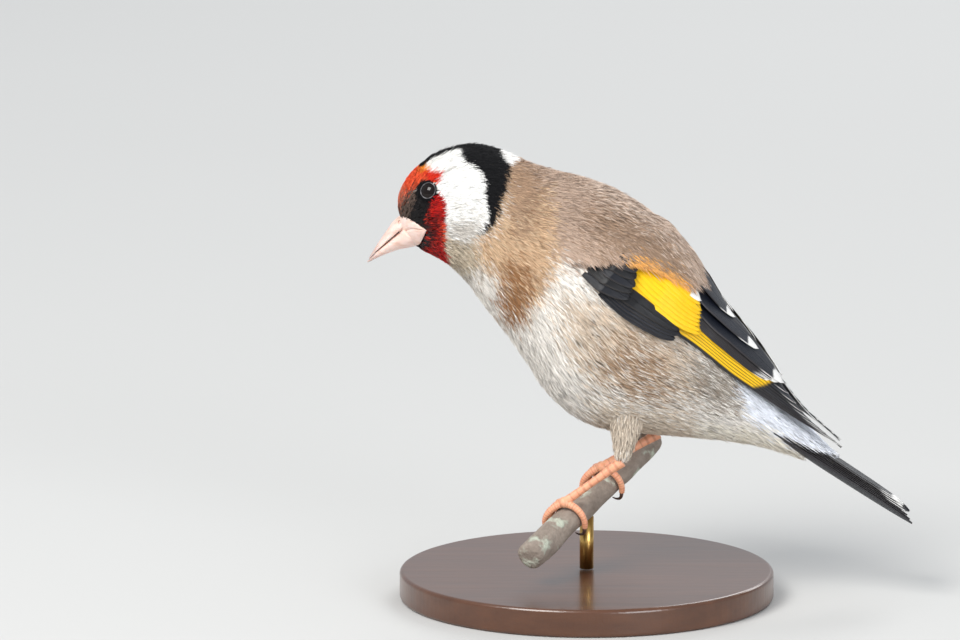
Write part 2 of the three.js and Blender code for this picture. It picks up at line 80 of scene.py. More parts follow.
def lamp(name, place, size, power, tint):
    """A square soft lamp that points at the bird."""
    data = bpy.data.lights.new(name, "AREA")
    data.size = size
    data.energy = power
    data.color = tint
    light = bpy.data.objects.new(name, data)
    light.location = place
    light.rotation_euler = (AIM - light.location).to_track_quat("-Z", "Y").to_euler()
    bpy.context.scene.collection.objects.link(light)


lamp("key_lamp", Vector((-0.7, -0.8, 1.15)), 0.7, 22, (1.0, 0.98, 0.95))
lamp("fill_lamp", Vector((0.75, -1.15, 0.33)), 0.6, 9, (0.95, 0.97, 1.0))
lamp("rim_lamp", Vector((0.5, 1.2, 1.0)), 0.8, 9, (1.0, 1.0, 1.0))
world = bpy.data.worlds.new("studio")
world.use_nodes = True
world.node_tree.nodes["Background"].inputs["Color"].default_value = (0.86, 0.9, 0.95, 1)
world.node_tree.nodes["Background"].inputs["Strength"].default_value = 0.62
bpy.context.scene.world = world


# The floor: a plain pale sheet of matt card, far wider than the stand. It isn't part of the object and only
# catches its shadow.
FLOOR_SIZE = 8  # metres from its middle to an edge


def finished(bm, name, material, smooth=True):
    """The bmesh as an object in the scene, with one material."""
    mesh = bpy.data.meshes.new(name)
    bm.to_mesh(mesh)
    bm.free()
    mesh.materials.append(material)
    mesh.polygons.foreach_set("use_smooth", [smooth] * len(mesh.polygons))
    piece = bpy.data.objects.new(name, mesh)
    bpy.context.scene.collection.objects.link(piece)
    return piece


class Term:
    """A socket of a material, so that shader maths reads as sums."""

    def __init__(self, finish, socket):
        self.finish = finish
        self.socket = socket

    def maths(self, operation, *values):
        inputs = dict(enumerate(values))
        return self.finish.node("ShaderNodeMath", {"operation": operation}, inputs)

    def __add__(self, other):
        return self.maths("ADD", self, other)

    def __sub__(self, other):
        return self.maths("SUBTRACT", self, other)

    def __rsub__(self, other):
        return self.maths("SUBTRACT", other, self)

    def __mul__(self, other):
        return self.maths("MULTIPLY", self, other)

    __radd__ = __add__
    __rmul__ = __mul__

    def above(self, edge, soft):
        """0 below the edge and 1 above it, with a soft step between."""
        inputs = {"Value": self, "From Min": edge - soft, "From Max": edge + soft}
        return self.finish.node("ShaderNodeMapRange", {"interpolation_type": "SMOOTHSTEP"}, inputs)


class Finish:
    """A material whose nodes are written as expressions; constants go straight onto its shader."""

    def __init__(self, name, **constants):
        self.material = bpy.data.materials.new(name)
        self.material.use_nodes = True
        self.tree = self.material.node_tree
        self.shader = self.tree.nodes["Principled BSDF"]
        for socket, value in constants.items():
            self.shader.inputs[socket.replace("_", " ")].default_value = value

    def fill(self, socket, value):
        if isinstance(value, Term):
            self.tree.links.new(value.socket, socket)
        elif socket.type == "RGBA" and len(value) == 3:
            socket.default_value = (*value, 1)
        else:
            socket.default_value = value

    def node(self, kind, settings=(), inputs=(), output=0):
        made = self.tree.nodes.new(kind)
        for name, value in dict(settings).items():
            setattr(made, name, value)
        for name, value in dict(inputs).items():
            known = {socket.identifier: socket for socket in made.inputs}
            self.fill(known[name] if name in known else made.inputs[name], value)
        return Term(self, made.outputs[output])

    def mix(self, share, first, second):
        inputs = {"Factor_Float": share, "A_Color": first, "B_Color": second}
        return self.node("ShaderNodeMix", {"data_type": "RGBA"}, inputs, 2)

    def attribute(self, name, output=2):
        return self.node("ShaderNodeAttribute", {"attribute_name": name}, output=output)

    def place(self, scale=(1, 1, 1)):
        """Object coordinates, stretched along each axis."""
        coordinates = self.node("ShaderNodeTexCoord", output=3)
        return self.node("ShaderNodeMapping", inputs={"Vector": coordinates, "Scale": scale})

    def noise(self, size, detail=3, rough=0.5, vector=None):
        """Cloudy noise with patches of about the given size in metres, from 0 to 1."""
        inputs = {"Vector": vector or self.place(), "Scale": 1 / size, "Detail": detail, "Roughness": rough}
        return self.node("ShaderNodeTexNoise", inputs=inputs)

    def bump(self, height, depth):
        """Bumps of a height from 0 to 1, of a depth in metres."""
        inputs = {"Height": height, "Distance": depth, "Strength": 1.0}
        self.fill(self.shader.inputs["Normal"], self.node("ShaderNodeBump", inputs=inputs))

    def colour(self, value):
        self.fill(self.shader.inputs["Base Color"], value)


def tone(red, green, blue):
    """A colour given in screen values from 0 to 255, as the shaders want it."""

    def linear(value):
        return ((value / 255 + 0.055) / 1.055) ** 2.4 if value > 10 else value / 255 / 12.92

    return linear(red), linear(green), linear(blue)


floor = Finish("pale_floor", Roughness=0.9)
floor.colour(floor.mix(floor.noise(0.5), (0.55, 0.55, 0.54), (0.58, 0.58, 0.57)))
ground = bmesh.new()
bmesh.ops.create_grid(ground, x_segments=1, y_segments=1, size=FLOOR_SIZE)
finished(ground, "floor", floor.material)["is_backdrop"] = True


# The plumage's form, the outside of the feathers. The body is a row of cross-sections in the mid plane, from
# the bill to the last tail coverts. Each has a top and a bottom point, half the width, and how much wider it
# is low down, all in mm but the last, which is a share.
BODY = [
    ((-40.3, 84.2), (-35.9, 75.8), 4.1, 0),
    ((-39.9, 88.0), (-33.4, 74.7), 5.9, 0.05),
    ((-36.9, 92.8), (-30.5, 73.1), 8.4, 0.08),
    ((-31.2, 96.6), (-28.1, 71.3), 9.8, 0.08),
    ((-24.7, 98.2), (-26.4, 69.6), 10.4, 0.06),
    ((-18.5, 97.0), (-24.9, 68.0), 10.8, 0.05),
    ((-13.2, 94.6), (-23.2, 65.5), 11.5, 0.05),
    ((-6.8, 92.5), (-20.7, 62.0), 13.0, 0.03),
    ((0.6, 90.6), (-16.8, 57.0), 15.2, 0),
    ((7.4, 87.8), (-12.4, 50.4), 17.2, 0),
    ((13.8, 83.5), (-7.2, 43.2), 18.3, 0),
    ((19.8, 77.0), (1.2, 37.6), 18.0, 0),
    ((24.7, 69.4), (12.0, 36.0), 16.2, 0),
    ((29.6, 61.0), (22.6, 35.0), 12.8, 0),
    ((36.1, 51.6), (31.6, 33.9), 8.8, 0),
    ((43.2, 42.2), (40.0, 32.1), 5.9, 0),
    ((50.0, 34.5), (47.0, 29.6), 4.0, 0),
    ((53.8, 30.8), (51.2, 27.8), 2.8, 0),
]
LAST = len(BODY) - 1


def through(points, count=1001):
    """Points at even steps along a centripetal curve through the given ones."""
    p = np.array(points, float)
    p = np.vstack([2 * p[0] - p[1], p, 2 * p[-1] - p[-2]])
    place = np.linspace(0, len(points) - 1, count)
    i = np.minimum(place.astype(int), len(points) - 2)
    w = (place - i)[:, None]
    a, b, c, d = p[i], p[i + 1], p[i + 2], p[i + 3]

    def gap(first, second):
        length = np.sqrt(np.linalg.norm(second - first, axis=1))[:, None]
        return np.where(length < 1e-4, 1, length)

    ab, bc, cd = gap(a, b), gap(b, c), gap(c, d)
    start = ((b - a) / ab - (c - a) / (ab + bc) + (c - b) / bc) * bc
    end = ((c - b) / bc - (d - b) / (bc + cd) + (d - c) / cd) * bc
    return b + start * w + (3 * (c - b) - 2 * start - end) * w**2 + (2 * (b - c) + start + end) * w**3


def at_share(table, share):
    """The table's rows at shares from 0 to 1 of its length."""
    steps = np.linspace(0, 1, len(table))
    return np.stack([np.interp(share, steps, column) for column in table.T], -1)


tops = through([row[0] for row in BODY])
bottoms = through([row[1] for row in BODY])
widths = through([row[2:] for row in BODY])


def body_point(share, angle, proud):
    """Points on the body: share of its length, angle from the top towards +Y, and how far proud, in mm."""
    top, bottom, width = at_share(tops, share), at_share(bottoms, share), at_share(widths, share)
    middle = (top + bottom) / 2
    rise = top - middle
    height = np.linalg.norm(rise, axis=-1)
    up = np.cos(angle) * (height + proud) / height
    across = np.sin(angle) * (width[..., 0] + proud) * (1 - width[..., 1] * np.cos(angle))
    x = middle[..., 0] + rise[..., 0] * up
    z = middle[..., 1] + rise[..., 1] * up
    return np.stack([x, across, z], -1)


# The plumage's markings, with some patches of painted shade and painted light, as outlines on the side view
# in pixels of the photograph. Each is a patch of one tone, with an edge as ragged, in pixels, as its
# feathers make it. A later patch lies over an earlier one.
SCALE = 0.2128  # millimetres to a pixel
ORIGIN = (587.1, 598)  # the pixel of the frame's origin
BELLY = tone(238, 233, 226)
MARKINGS = {
    "mantle": (tone(192, 168, 150), 5, [
        (500, 120), (600, 130), (760, 260), (760, 345), (700, 330), (612, 285), (560, 262), (530, 205),
        (505, 160)]),
    # Painted shade low on the mantle, over the folded wing.
    "painted shade on the mantle": (tone(160, 134, 112), 14, [
        (583, 205), (650, 215), (700, 262), (700, 290), (622, 262), (586, 236)]),
    # Painted light along the top of the back, where the light falls on it.
    "painted light along the top of the back": (tone(208, 188, 172), 9, [
        (560, 140), (640, 180), (700, 250), (730, 300), (712, 292), (660, 235), (600, 198)]),
    "side of the neck": (tone(214, 182, 148), 6, [
        (506, 164), (528, 168), (552, 200), (556, 262), (540, 306), (500, 280), (478, 262), (474, 246),
        (487, 234), (498, 222), (503, 195)]),
    "nape": (tone(176, 146, 120), 7, [
        (506, 160), (530, 160), (545, 185), (540, 222), (522, 246), (508, 222), (509, 190)]),
    "breast patch": (tone(162, 118, 80), 6, [
        (506, 262), (520, 258), (532, 276), (531, 302), (523, 322), (514, 330), (504, 322), (499, 305),
        (501, 285)]),
    "throat": (tone(214, 200, 178), 4, [
        (440, 232), (470, 240), (480, 254), (474, 276), (458, 274), (440, 266)]),
    "flank": (tone(212, 194, 174), 9, [
        (560, 300), (625, 305), (700, 350), (695, 402), (640, 402), (598, 385), (565, 350)]),
    # Painted shade on the flank, under the folded wing.
    "painted shade on the flank": (tone(166, 138, 112), 12, [
        (606, 334), (648, 350), (668, 376), (660, 402), (628, 392), (600, 366)]),
    # Painted shade on the rear flank, under the tips of the folded wing.
    "painted shade on the rear flank": (tone(158, 148, 136), 10, [
        (688, 350), (722, 366), (752, 394), (738, 412), (704, 404), (682, 380)]),
    "thigh": (tone(222, 208, 190), 9, [
        (585, 402), (690, 416), (700, 445), (600, 470)]),
    "rump": (tone(238, 241, 248), 4, [
        (735, 376), (800, 380), (850, 440), (850, 470), (800, 450), (745, 416)]),
    "vent": (tone(244, 238, 224), 6, [
        (690, 424), (760, 432), (850, 470), (850, 500), (700, 470)]),
    "amber over the wing": (tone(232, 172, 96), 4, [
        (628, 258), (650, 262), (680, 278), (692, 292), (684, 300), (660, 290), (640, 280), (626, 276)]),
    "black band": (tone(9, 9, 13), 1.6, [
        (440, 120), (510, 120), (509, 156), (512, 166), (508, 178), (506, 190), (502, 202), (500, 213),
        (495, 225), (487, 233), (478, 237), (484, 230), (487, 222), (488, 213), (486, 205), (484, 193),
        (485, 183), (480, 174), (473, 167), (464, 162), (461, 156), (460, 147)]),
    "white spot of the nape": (tone(248, 246, 243), 1.2, [
        (501, 153), (501, 140), (514, 142), (521, 158), (517, 162), (511, 166), (506, 163)]),
    "white cheek": (tone(254, 253, 250), 1.2, [
        (426, 163), (430, 140), (461, 120), (462, 157), (466, 163), (475, 167), (482, 174), (486, 183),
        (485, 193), (487, 205), (489, 214), (488, 223), (484, 231), (476, 238), (466, 244), (456, 242),
        (448, 235), (446, 222), (446, 210), (444, 200), (439, 193), (437, 185), (440, 175), (433, 171),
        (428, 168)]),
    "cheek's lower edge": (tone(214, 208, 200), 4, [
        (449, 226), (480, 222), (482, 236), (466, 246), (450, 238)]),
    # A thin line of painted shade where the white cheek's feathers crease over the ear.
    "painted shade in the crease over the ear": (tone(202, 199, 194), 0.3, [
        (440, 174.4), (456, 166.6), (457, 167.8), (441, 175.8)]),
    "red forehead": (tone(240, 92, 50), 1.4, [
        (380, 222), (380, 160), (420, 140), (426, 163), (428, 168), (434, 171), (441, 174), (438, 181),
        (435, 187), (420, 186), (408, 197), (404, 208), (402, 224)]),
    # Painted highlight: bright orange where the light falls on the top of the red forehead.
    "painted highlight on the forehead": (tone(252, 156, 44), 1.6, [
        (419, 166), (425, 160), (430, 168), (427, 173), (420, 172)]),
    "red over the eye": (tone(222, 46, 22), 1.6, [
        (422, 172), (428, 170), (442, 173), (439, 183), (429, 181)]),
    "pale forehead": (tone(228, 132, 102), 2.4, [
        (380, 186), (404, 184), (405, 208), (396, 216), (380, 216)]),
    "red face": (tone(192, 14, 12), 1.0, [
        (434, 199), (440, 193), (445, 201), (447, 213), (446, 222), (446, 235), (445, 248), (450, 264),
        (440, 276), (420, 256), (416, 244), (424, 238), (428, 230), (427, 220), (429, 211), (431, 204)]),
    "dusky lore": (tone(104, 86, 76), 3, [
        (392, 224), (398, 208), (405, 196), (414, 187), (421, 194), (416, 210), (410, 226)]),
    "black lore": (tone(18, 15, 17), 1.6, [
        (406, 228), (411, 212), (416, 198), (419, 187), (427, 183), (436, 186), (437, 195), (433, 200),
        (431, 206), (429, 213), (427, 221), (428, 231), (414, 232)]),
    "dark of the face": (tone(112, 10, 8), 4, [
        (430, 218), (441, 216), (444, 224), (439, 238), (432, 244), (427, 238), (427, 226)]),
    "black chin": (tone(18, 14, 15), 1.4, [
        (408, 254), (414, 240), (423, 231), (431, 229), (434, 237), (430, 246), (422, 252)]),
    "rim of the face": (tone(226, 76, 34), 0.8, [
        (443, 224), (446, 224), (446, 244), (443, 242)]),
}
# Single tufts of another tone, scattered over a patch: the tone, the share of the tufts and the outline.
FACE = [(427, 204), (440, 192), (446, 206), (447, 250), (440, 270), (420, 252), (424, 226)]
NECK = [(488, 236), (556, 180), (560, 262), (530, 330), (490, 282), (474, 262)]
THROAT = [(440, 236), (476, 246), (486, 282), (470, 300), (445, 270)]
CHEEK = [(444, 200), (484, 196), (486, 226), (466, 243), (446, 236)]
BACK = [(520, 165), (600, 172), (660, 210), (720, 290), (640, 290), (560, 230)]
FLANK = [(560, 300), (620, 305), (700, 350), (750, 392), (740, 416), (640, 405), (590, 390)]
FLECKS = [
    (tone(60, 6, 7), 0.26, FACE),
    (tone(226, 50, 22), 0.14, FACE),
    (tone(132, 94, 62), 0.14, NECK),
    (tone(228, 204, 172), 0.14, NECK),
    (tone(150, 132, 112), 0.22, THROAT),
    (tone(205, 198, 188), 0.1, CHEEK),
    (tone(134, 110, 92), 0.12, BACK),
    (tone(150, 130, 112), 0.1, FLANK),
    (tone(236, 230, 222), 0.16, FLANK),
]
EYE_PIXEL = (427.3, 191)
FLECK_STRENGTH = 0.65  # share of a fleck's own tone in it
EYE_RING = 10.8  # pixels to the edge of the black feathers round the eye
EYE_RING_RAGGED = 0.6  # pixels
EYE_RING_TOP = 96  # mm, above which no feather belongs to that ring
CROWN = tone(9, 9, 13)
CROWN_HALF_WIDTH = 1.9  # mm, of the black stripe over the front of the crown
CROWN_RAGGED = 0.3  # mm
CROWN_SPAN = (419, 470)  # the pixels between which the stripe runs
CROWN_LOWEST = 88  # mm, the lowest point of the stripe


def within(outline, x, y):
    """Which points lie inside an outline."""
    inside = np.zeros(len(x), bool)
    for (ax, ay), (bx, by) in zip(outline, outline[1:] + outline[:1]):
        crosses = (ay > y) != (by > y)
        with np.errstate(divide="ignore", invalid="ignore"):
            inside ^= crosses & (x < (bx - ax) * (y - ay) / (by - ay) + ax)
    return inside


def seen(points):
    """The photograph's pixels where points of the near side, or their mirror images, show."""
    x = ORIGIN[0] + points[:, 0] / SCALE
    lift = points[:, 2] * math.cos(ELEVATION) - np.abs(points[:, 1]) * math.sin(ELEVATION)
    return x, ORIGIN[1] - lift / SCALE


def plumage(points, rng, tuft=1):
    """The colour of the plumage at points given in mm, which come in tufts of so many."""
    x, y = seen(points)
    shift = rng.normal(size=(2, len(x)))
    colour = np.tile(BELLY, (len(x), 1))
    for shade, ragged, outline in MARKINGS.values():
        colour[within(outline, x + ragged * shift[0], y + ragged * shift[1])] = shade
    for shade, share, outline in FLECKS:
        chosen = np.repeat(rng.random(len(x) // tuft) < share, tuft) & within(outline, x, y)
        colour[chosen] = (1 - FLECK_STRENGTH) * colour[chosen] + FLECK_STRENGTH * np.array(shade)
    around = np.hypot(x - EYE_PIXEL[0], y - EYE_PIXEL[1]) + EYE_RING_RAGGED * shift[0]
    colour[(around < EYE_RING) & (points[:, 2] < EYE_RING_TOP)] = CROWN
    stripe = np.abs(points[:, 1]) < CROWN_HALF_WIDTH + CROWN_RAGGED * shift[0]
    stripe &= (points[:, 2] > CROWN_LOWEST) & (x > CROWN_SPAN[0]) & (x < CROWN_SPAN[1])
    colour[stripe] = CROWN
    return colour


# The skin under the feathers, one mesh that replaces the solids of the head, neck, torso, rump and thighs.
# It lies under the coat, carries its markings in soft down and shows only where the feathers part.
SKIN_RINGS = 220
SKIN_SIDES = 120
SKIN_SHADE = 0.7  # painted shade: how much darker it is than the coat over it, in whose shadow it lies
TURN = 2 * math.pi


def coat_depth(share):
    """How far under the feather tips the skin lies, in mm: least round the bill, most on the belly."""
    return np.interp(share * LAST, [0, 1, 3, 6, 9, 13, LAST], [0.5, 0.7, 0.9, 1.3, 1.7, 1.6, 1.0])


def sculpted(x_segments, y_segments, surface):
    """A grid as a bmesh, bent to surface(across, along), with both shares from 0 to 1."""
    bm = bmesh.new()
    bmesh.ops.create_grid(bm, x_segments=x_segments, y_segments=y_segments, size=0.5)
    shares = np.array([vertex.co[:2] for vertex in bm.verts]) + 0.5
    for vertex, point in zip(bm.verts, surface(shares[:, 0], shares[:, 1])):
        vertex.co = Vector(point) * MM
    return bm


def closed(bm):
    """Joins the long edges of a grid bent into a tube and closes its two ends."""
    bmesh.ops.remove_doubles(bm, verts=bm.verts, dist=1e-6)
    bmesh.ops.holes_fill(bm, edges=[edge for edge in bm.edges if edge.is_boundary])
    bmesh.ops.recalc_face_normals(bm, faces=bm.faces)
    return bm


LEGS = {
    "left": {"hip": (8.8, -8.4, 45.0), "ankle": (7.4, -8.0, 31.2), "foot": -7.7},
    "right": {"hip": (16.8, 8.6, 45.0), "ankle": (15.4, 8.0, 34.0), "foot": 7.7},
}
THIGH_RADII = (4.6, 3.1, 1.25)
THIGH_DEPTH = 0.6
THIGH_STEPS = 32
THIGH_REACH = 0.97  # share of the way to the ankle that its skin goes


def round_limb(path, radii, front):
    """A surface round a path through points, with radii along it; angle 0 faces the front. Past its ends
    it has no points: what it gives there isn't a number."""
    line = through(path, 201)
    sizes = through([(radius, 0) for radius in radii], 201)

    def surface(share, angle, proud):
        middle = at_share(line, share)
        run = at_share(line, np.clip(share + 0.01, 0, 1)) - at_share(line, np.clip(share - 0.01, 0, 1))
        with np.errstate(invalid="ignore"):
            run /= np.linalg.norm(run, axis=-1, keepdims=True)
        ahead = front - run * (run @ np.array(front))[..., None]
        ahead /= np.linalg.norm(ahead, axis=-1, keepdims=True)
        radius = (at_share(sizes, share)[..., 0] + proud)[..., None]
        beside = np.cross(run, ahead)
        return middle + radius * (ahead * np.cos(angle)[..., None] + beside * np.sin(angle)[..., None])

    return surface


thigh_surfaces = {}
for side, leg in LEGS.items():
    knee = (np.array(leg["hip"]) + leg["ankle"]) / 2
    thigh_surfaces[side] = round_limb([leg["hip"], knee, leg["ankle"]], THIGH_RADII, (-1.0, 0, 0))
parts = [(SKIN_SIDES, SKIN_RINGS, lambda u, v: body_point(v, TURN * u, -coat_depth(v)))]
for surface in thigh_surfaces.values():
    thigh = lambda u, v, surface=surface: surface(v * THIGH_REACH, TURN * u, -THIGH_DEPTH)
    parts.append((THIGH_STEPS, THIGH_STEPS, thigh))
skin_bm = bmesh.new()
for sides, rings, bend in parts:
    part = bpy.data.meshes.new("part")
    closed(sculpted(sides, rings, bend)).to_mesh(part)
    skin_bm.from_mesh(part)
down = Finish("downy_skin", Roughness=0.9, Specular_IOR_Level=0.15)
down.colour(down.attribute("plumage", 0))
down.bump(down.noise(0.0004, 4), 0.0002)
skin = finished(skin_bm, "skin", down.material)
skin_points = np.array([vertex.co[:] for vertex in skin.data.vertices]) / MM


def paint(mesh, colours):
    """Stores a colour for each vertex."""
    layer = mesh.color_attributes.new("plumage", "FLOAT_COLOR", "POINT")
    layer.data.foreach_set("color", np.c_[colours, np.ones(len(colours))].astype(np.float32).ravel())


# The skin carries the coat's markings darkened, as painted shade under the feathers.
paint(skin.data, SKIN_SHADE * plumage(skin_points, np.random.default_rng(1)))
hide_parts("head", "neck", "torso", "rump", "thigh_left", "thigh_right")
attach(skin, "root")


# The coat of small feathers. Each is a tuft of fine tapered barbs, rooted on the skin and bent along the
# body towards the tail. The barbs of a tuft close up towards its tip, and they lie over the next tufts.
BARBS = 6  # in a tuft
BARB_STEPS = np.array([0, 0.3, 0.68, 1])  # shares of its length where a barb bends
BARB_TAPER = np.array([0.7, 1, 0.75])  # shares of its width at those steps; the last one is its point
BARB_POINTS = 7
BARB_FACES = np.array([[0, 1, 3], [0, 3, 2], [2, 3, 5], [2, 5, 4], [4, 5, 6]])
BARB_SHADES = np.repeat([0.72, 0.72, 0.92, 0.92, 1.04, 1.04, 1.08], 3).reshape(7, 3)  # painted shade at the root, painted light at the tip
ROOTS_APART = 0.07  # share of the length that the roots of a tuft's barbs lie apart
TUFT_TURN = 0.12  # radians that a tuft turns from the body's run
BARB_TURN = 0.08  # radians that a barb turns from its tuft
BARB_ROLL = 0.5  # radians that it rolls about its own length
BARB_REACH = (0.75, 1.1)  # shares of the length, of the shortest and the longest barb
BARB_WIDTHS = (0.75, 1.25)
TUFT_CLOSES = 0.35  # share of that distance by which its barbs close up towards its tip
TUFT_TONES = (0.86, 1.08)  # the darkest and the lightest tuft, and the same of its barbs
BARB_TONES = (0.85, 1.1)
DARK_BARBS = 0.07  # share of the barbs that are darker still
DARK_TONE = 0.7
TONE_PLACE = (0.8, 0.2)  # a barb has the colour of a place between its second bend and its tip
LAID = 0.82  # how far up through the coat's depth its tips come
PATCH = 0.003  # of the unwrapped skin that a tuft's colour is baked on
BARB_PATCH = np.array([[-1, -1], [1, -1], [-1, -0.3], [1, -0.3], [-1, 0.4], [1, 0.4], [0, 1]]) * PATCH / 2


def measured(surface, share, angle, proud):
    """The two tangents and the normal of a surface at points."""
    step = 1e-3
    along = (surface(share + step, angle, proud) - surface(share - step, angle, proud)) / (2 * step)
    round_ = (surface(share, angle + step, proud) - surface(share, angle - step, proud)) / (2 * step)
    normal = np.cross(round_, along)
    return along, round_, normal / np.linalg.norm(normal, axis=-1, keepdims=True)


def scattered(surface, shares, angles, count, rng, weight=None):
    """Root places spread evenly over part of a surface."""
    grid = 240
    s, a = np.meshgrid(np.linspace(*shares, grid), np.linspace(*angles, grid), indexing="ij")
    along, round_, _ = measured(surface, s.ravel(), a.ravel(), 0)
    area = np.linalg.norm(np.cross(along, round_), axis=-1)
    if weight is not None:
        area = area * weight(s.ravel(), a.ravel())
    chosen = rng.choice(len(area), count, p=area / area.sum())
    jitter = rng.random((2, count)) - 0.5
    share = s.ravel()[chosen] + jitter[0] * (shares[1] - shares[0]) / grid
    angle = a.ravel()[chosen] + jitter[1] * (angles[1] - angles[0]) / grid
    return share, angle


def barb_spines(surface, share, angle, length, depth, fluff, rng):
    """Four points along each barb, from its root on the skin to its tip, and the normal at its root."""
    along, round_, normal = measured(surface, share, angle, 0)
    run = np.linalg.norm(along, axis=-1)
    girth = np.linalg.norm(round_, axis=-1)
    count = len(share)
    spread = rng.normal(size=(2, count)) * ROOTS_APART * length
    tuft_turn = np.repeat(rng.normal(size=count // BARBS) * TUFT_TURN, BARBS)
    turn = tuft_turn + rng.normal(size=count) * BARB_TURN
    reach = length * rng.uniform(*BARB_REACH, count)
    rise = depth * LAID + np.abs(rng.normal(size=count)) * fluff
    rows = []
    for step in BARB_STEPS:
        close = 1 - TUFT_CLOSES * step
        s = share + (spread[0] * close + reach * step * np.cos(turn)) / run
        a = angle + (spread[1] * close + reach * step * np.sin(turn)) / girth
        proud = -depth + rise * np.sin(step * math.pi / 2) ** 0.8
        rows.append(surface(s, a, proud))
    return np.stack(rows, 1), normal


def barb_tones(spine, rng):
    """The markings' colours for barbs, varied from tuft to tuft and from barb to barb."""
    count = len(spine)
    colour = plumage(spine[:, 2] * TONE_PLACE[0] + spine[:, 3] * TONE_PLACE[1], rng, BARBS)
    colour = colour * np.repeat(rng.uniform(*TUFT_TONES, count // BARBS), BARBS)[:, None]
    colour = colour * rng.uniform(*BARB_TONES, (count, 1))
    return colour * np.where(rng.random((count, 1)) < DARK_BARBS, DARK_TONE, 1.0)


def barb_mesh(name, points, colour, places):
    """One mesh of barbs from their points and colours, unwrapped to patches where their roots lie."""
    corners = (np.arange(len(points))[:, None, None] * BARB_POINTS + BARB_FACES[None]).reshape(-1, 3)
    mesh = bpy.data.meshes.new(name)
    mesh.vertices.add(len(points) * BARB_POINTS)
    mesh.vertices.foreach_set("co", (points * MM).astype(np.float32).ravel())
    mesh.loops.add(corners.size)
    mesh.loops.foreach_set("vertex_index", corners.astype(np.int32).ravel())
    mesh.polygons.add(len(corners))
    mesh.polygons.foreach_set("loop_start", np.arange(0, corners.size, 3, dtype=np.int32))
    mesh.polygons.foreach_set("use_smooth", np.ones(len(corners), bool))
    mesh.update(calc_edges=True)
    # Each barb's colour carries painted shade along it, darkest at the root.
    paint(mesh, (colour[:, None] * BARB_SHADES[None]).reshape(-1, 3))
    unwrapped = (places[:, None] + BARB_PATCH[None]).reshape(-1, 2)
    layer = mesh.uv_layers.new(name="OFBake")
    layer.data.foreach_set("uv", unwrapped[corners.ravel()].astype(np.float32).ravel())
    mesh.materials.append(barbs.material)
    return mesh


def coat(name, surface, roots, length, width, depth, rng, keep=None, fluff=0.25):
    """One piece of tufts. length and depth are in mm, each a number or one value for each root.
    keep(spines) says which barbs stay, and fluff is how many mm their tips stand off. A barb that runs past
    the end of its surface is left out."""
    share, angle = (np.repeat(values, BARBS) for values in roots)
    length, depth = (np.repeat(np.broadcast_to(values, len(roots[0])), BARBS) for values in (length, depth))
    spine, normal = barb_spines(surface, share, angle, length, depth, fluff, rng)
    side = np.cross(normal, spine[:, -1] - spine[:, 0])
    side /= np.linalg.norm(side, axis=-1, keepdims=True)
    roll = rng.normal(size=(len(spine), 1)) * BARB_ROLL
    side = side * np.cos(roll) + normal * np.sin(roll)
    colour = barb_tones(spine, rng)
    if keep is not None:
        kept = keep(spine)
        spine, side, colour, share, angle = spine[kept], side[kept], colour[kept], share[kept], angle[kept]
    half = width / 2 * rng.uniform(*BARB_WIDTHS, (len(spine), 1, 1)) * BARB_TAPER[None, :, None]
    left = spine[:, :3] - side[:, None] * half
    right = spine[:, :3] + side[:, None] * half
    edges = np.stack([left, right], 2).reshape(len(spine), BARB_POINTS - 1, 3)
    points = np.concatenate([edges, spine[:, 3:]], 1)
    places = np.stack([angle / TURN % 1, share], -1)
    whole = np.isfinite(points).all((1, 2))
    mesh = barb_mesh(name, points[whole], colour[whole], places[whole])
    piece = bpy.data.objects.new(name, mesh)
    bpy.context.scene.collection.objects.link(piece)
    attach(piece, "root")
    return piece


barbs = Finish("feather_barbs", Roughness=0.75, Specular_IOR_Level=0.2, Sheen_Weight=0.12,
               Sheen_Roughness=0.5)
barbs.colour(barbs.attribute("plumage", 0))

# Where the folded wings lie, whose flesh the body's coat leaves bare: quarters of ellipses along a sloping
# axis, in mm, each a middle's height over the axis, a height and a half width. One lies at every 10 mm.
WING_START = np.array([-2.6, 0, 72.8])
WING_SLOPE = math.radians(34)
WING_AXIS = np.array([math.cos(WING_SLOPE), 0, -math.sin(WING_SLOPE)])
WING_OUT = np.array([math.sin(WING_SLOPE), 0, math.cos(WING_SLOPE)])
WING_HULL = [
    (-2.5, 20.9, 17.1),
    (-4.6, 22.4, 18.6),
    (-5.0, 20.0, 18.2),
    (-2.9, 13.2, 15.2),
    (-2.9, 10.3, 11.6),
    (-1.7, 5.6, 8.3),
    (-0.9, 1.3, 6.1),
    (-1.2, 0.3, 4.0),
]
WING_LENGTH = 10.0 * (len(WING_HULL) - 1)
hull = through(WING_HULL)
EYES = {}  # for each side the middle of the eyeball and the way it looks
EYE_CLEAR = 1.8  # mm from the line the eye looks along to the nearest feathers


def nearest_place(surface, target, shares, angles, key=lambda points: points):
    """The share and angle where key(a point of the surface) comes nearest to a target."""
    grid = 300
    s, a = np.meshgrid(np.linspace(*shares, grid), np.linspace(*angles, grid), indexing="ij")
    found = key(surface(s.ravel(), a.ravel(), 0.0))
    best = np.linalg.norm(found - np.array(target), axis=-1).argmin()
    return s.ravel()[best], a.ravel()[best]


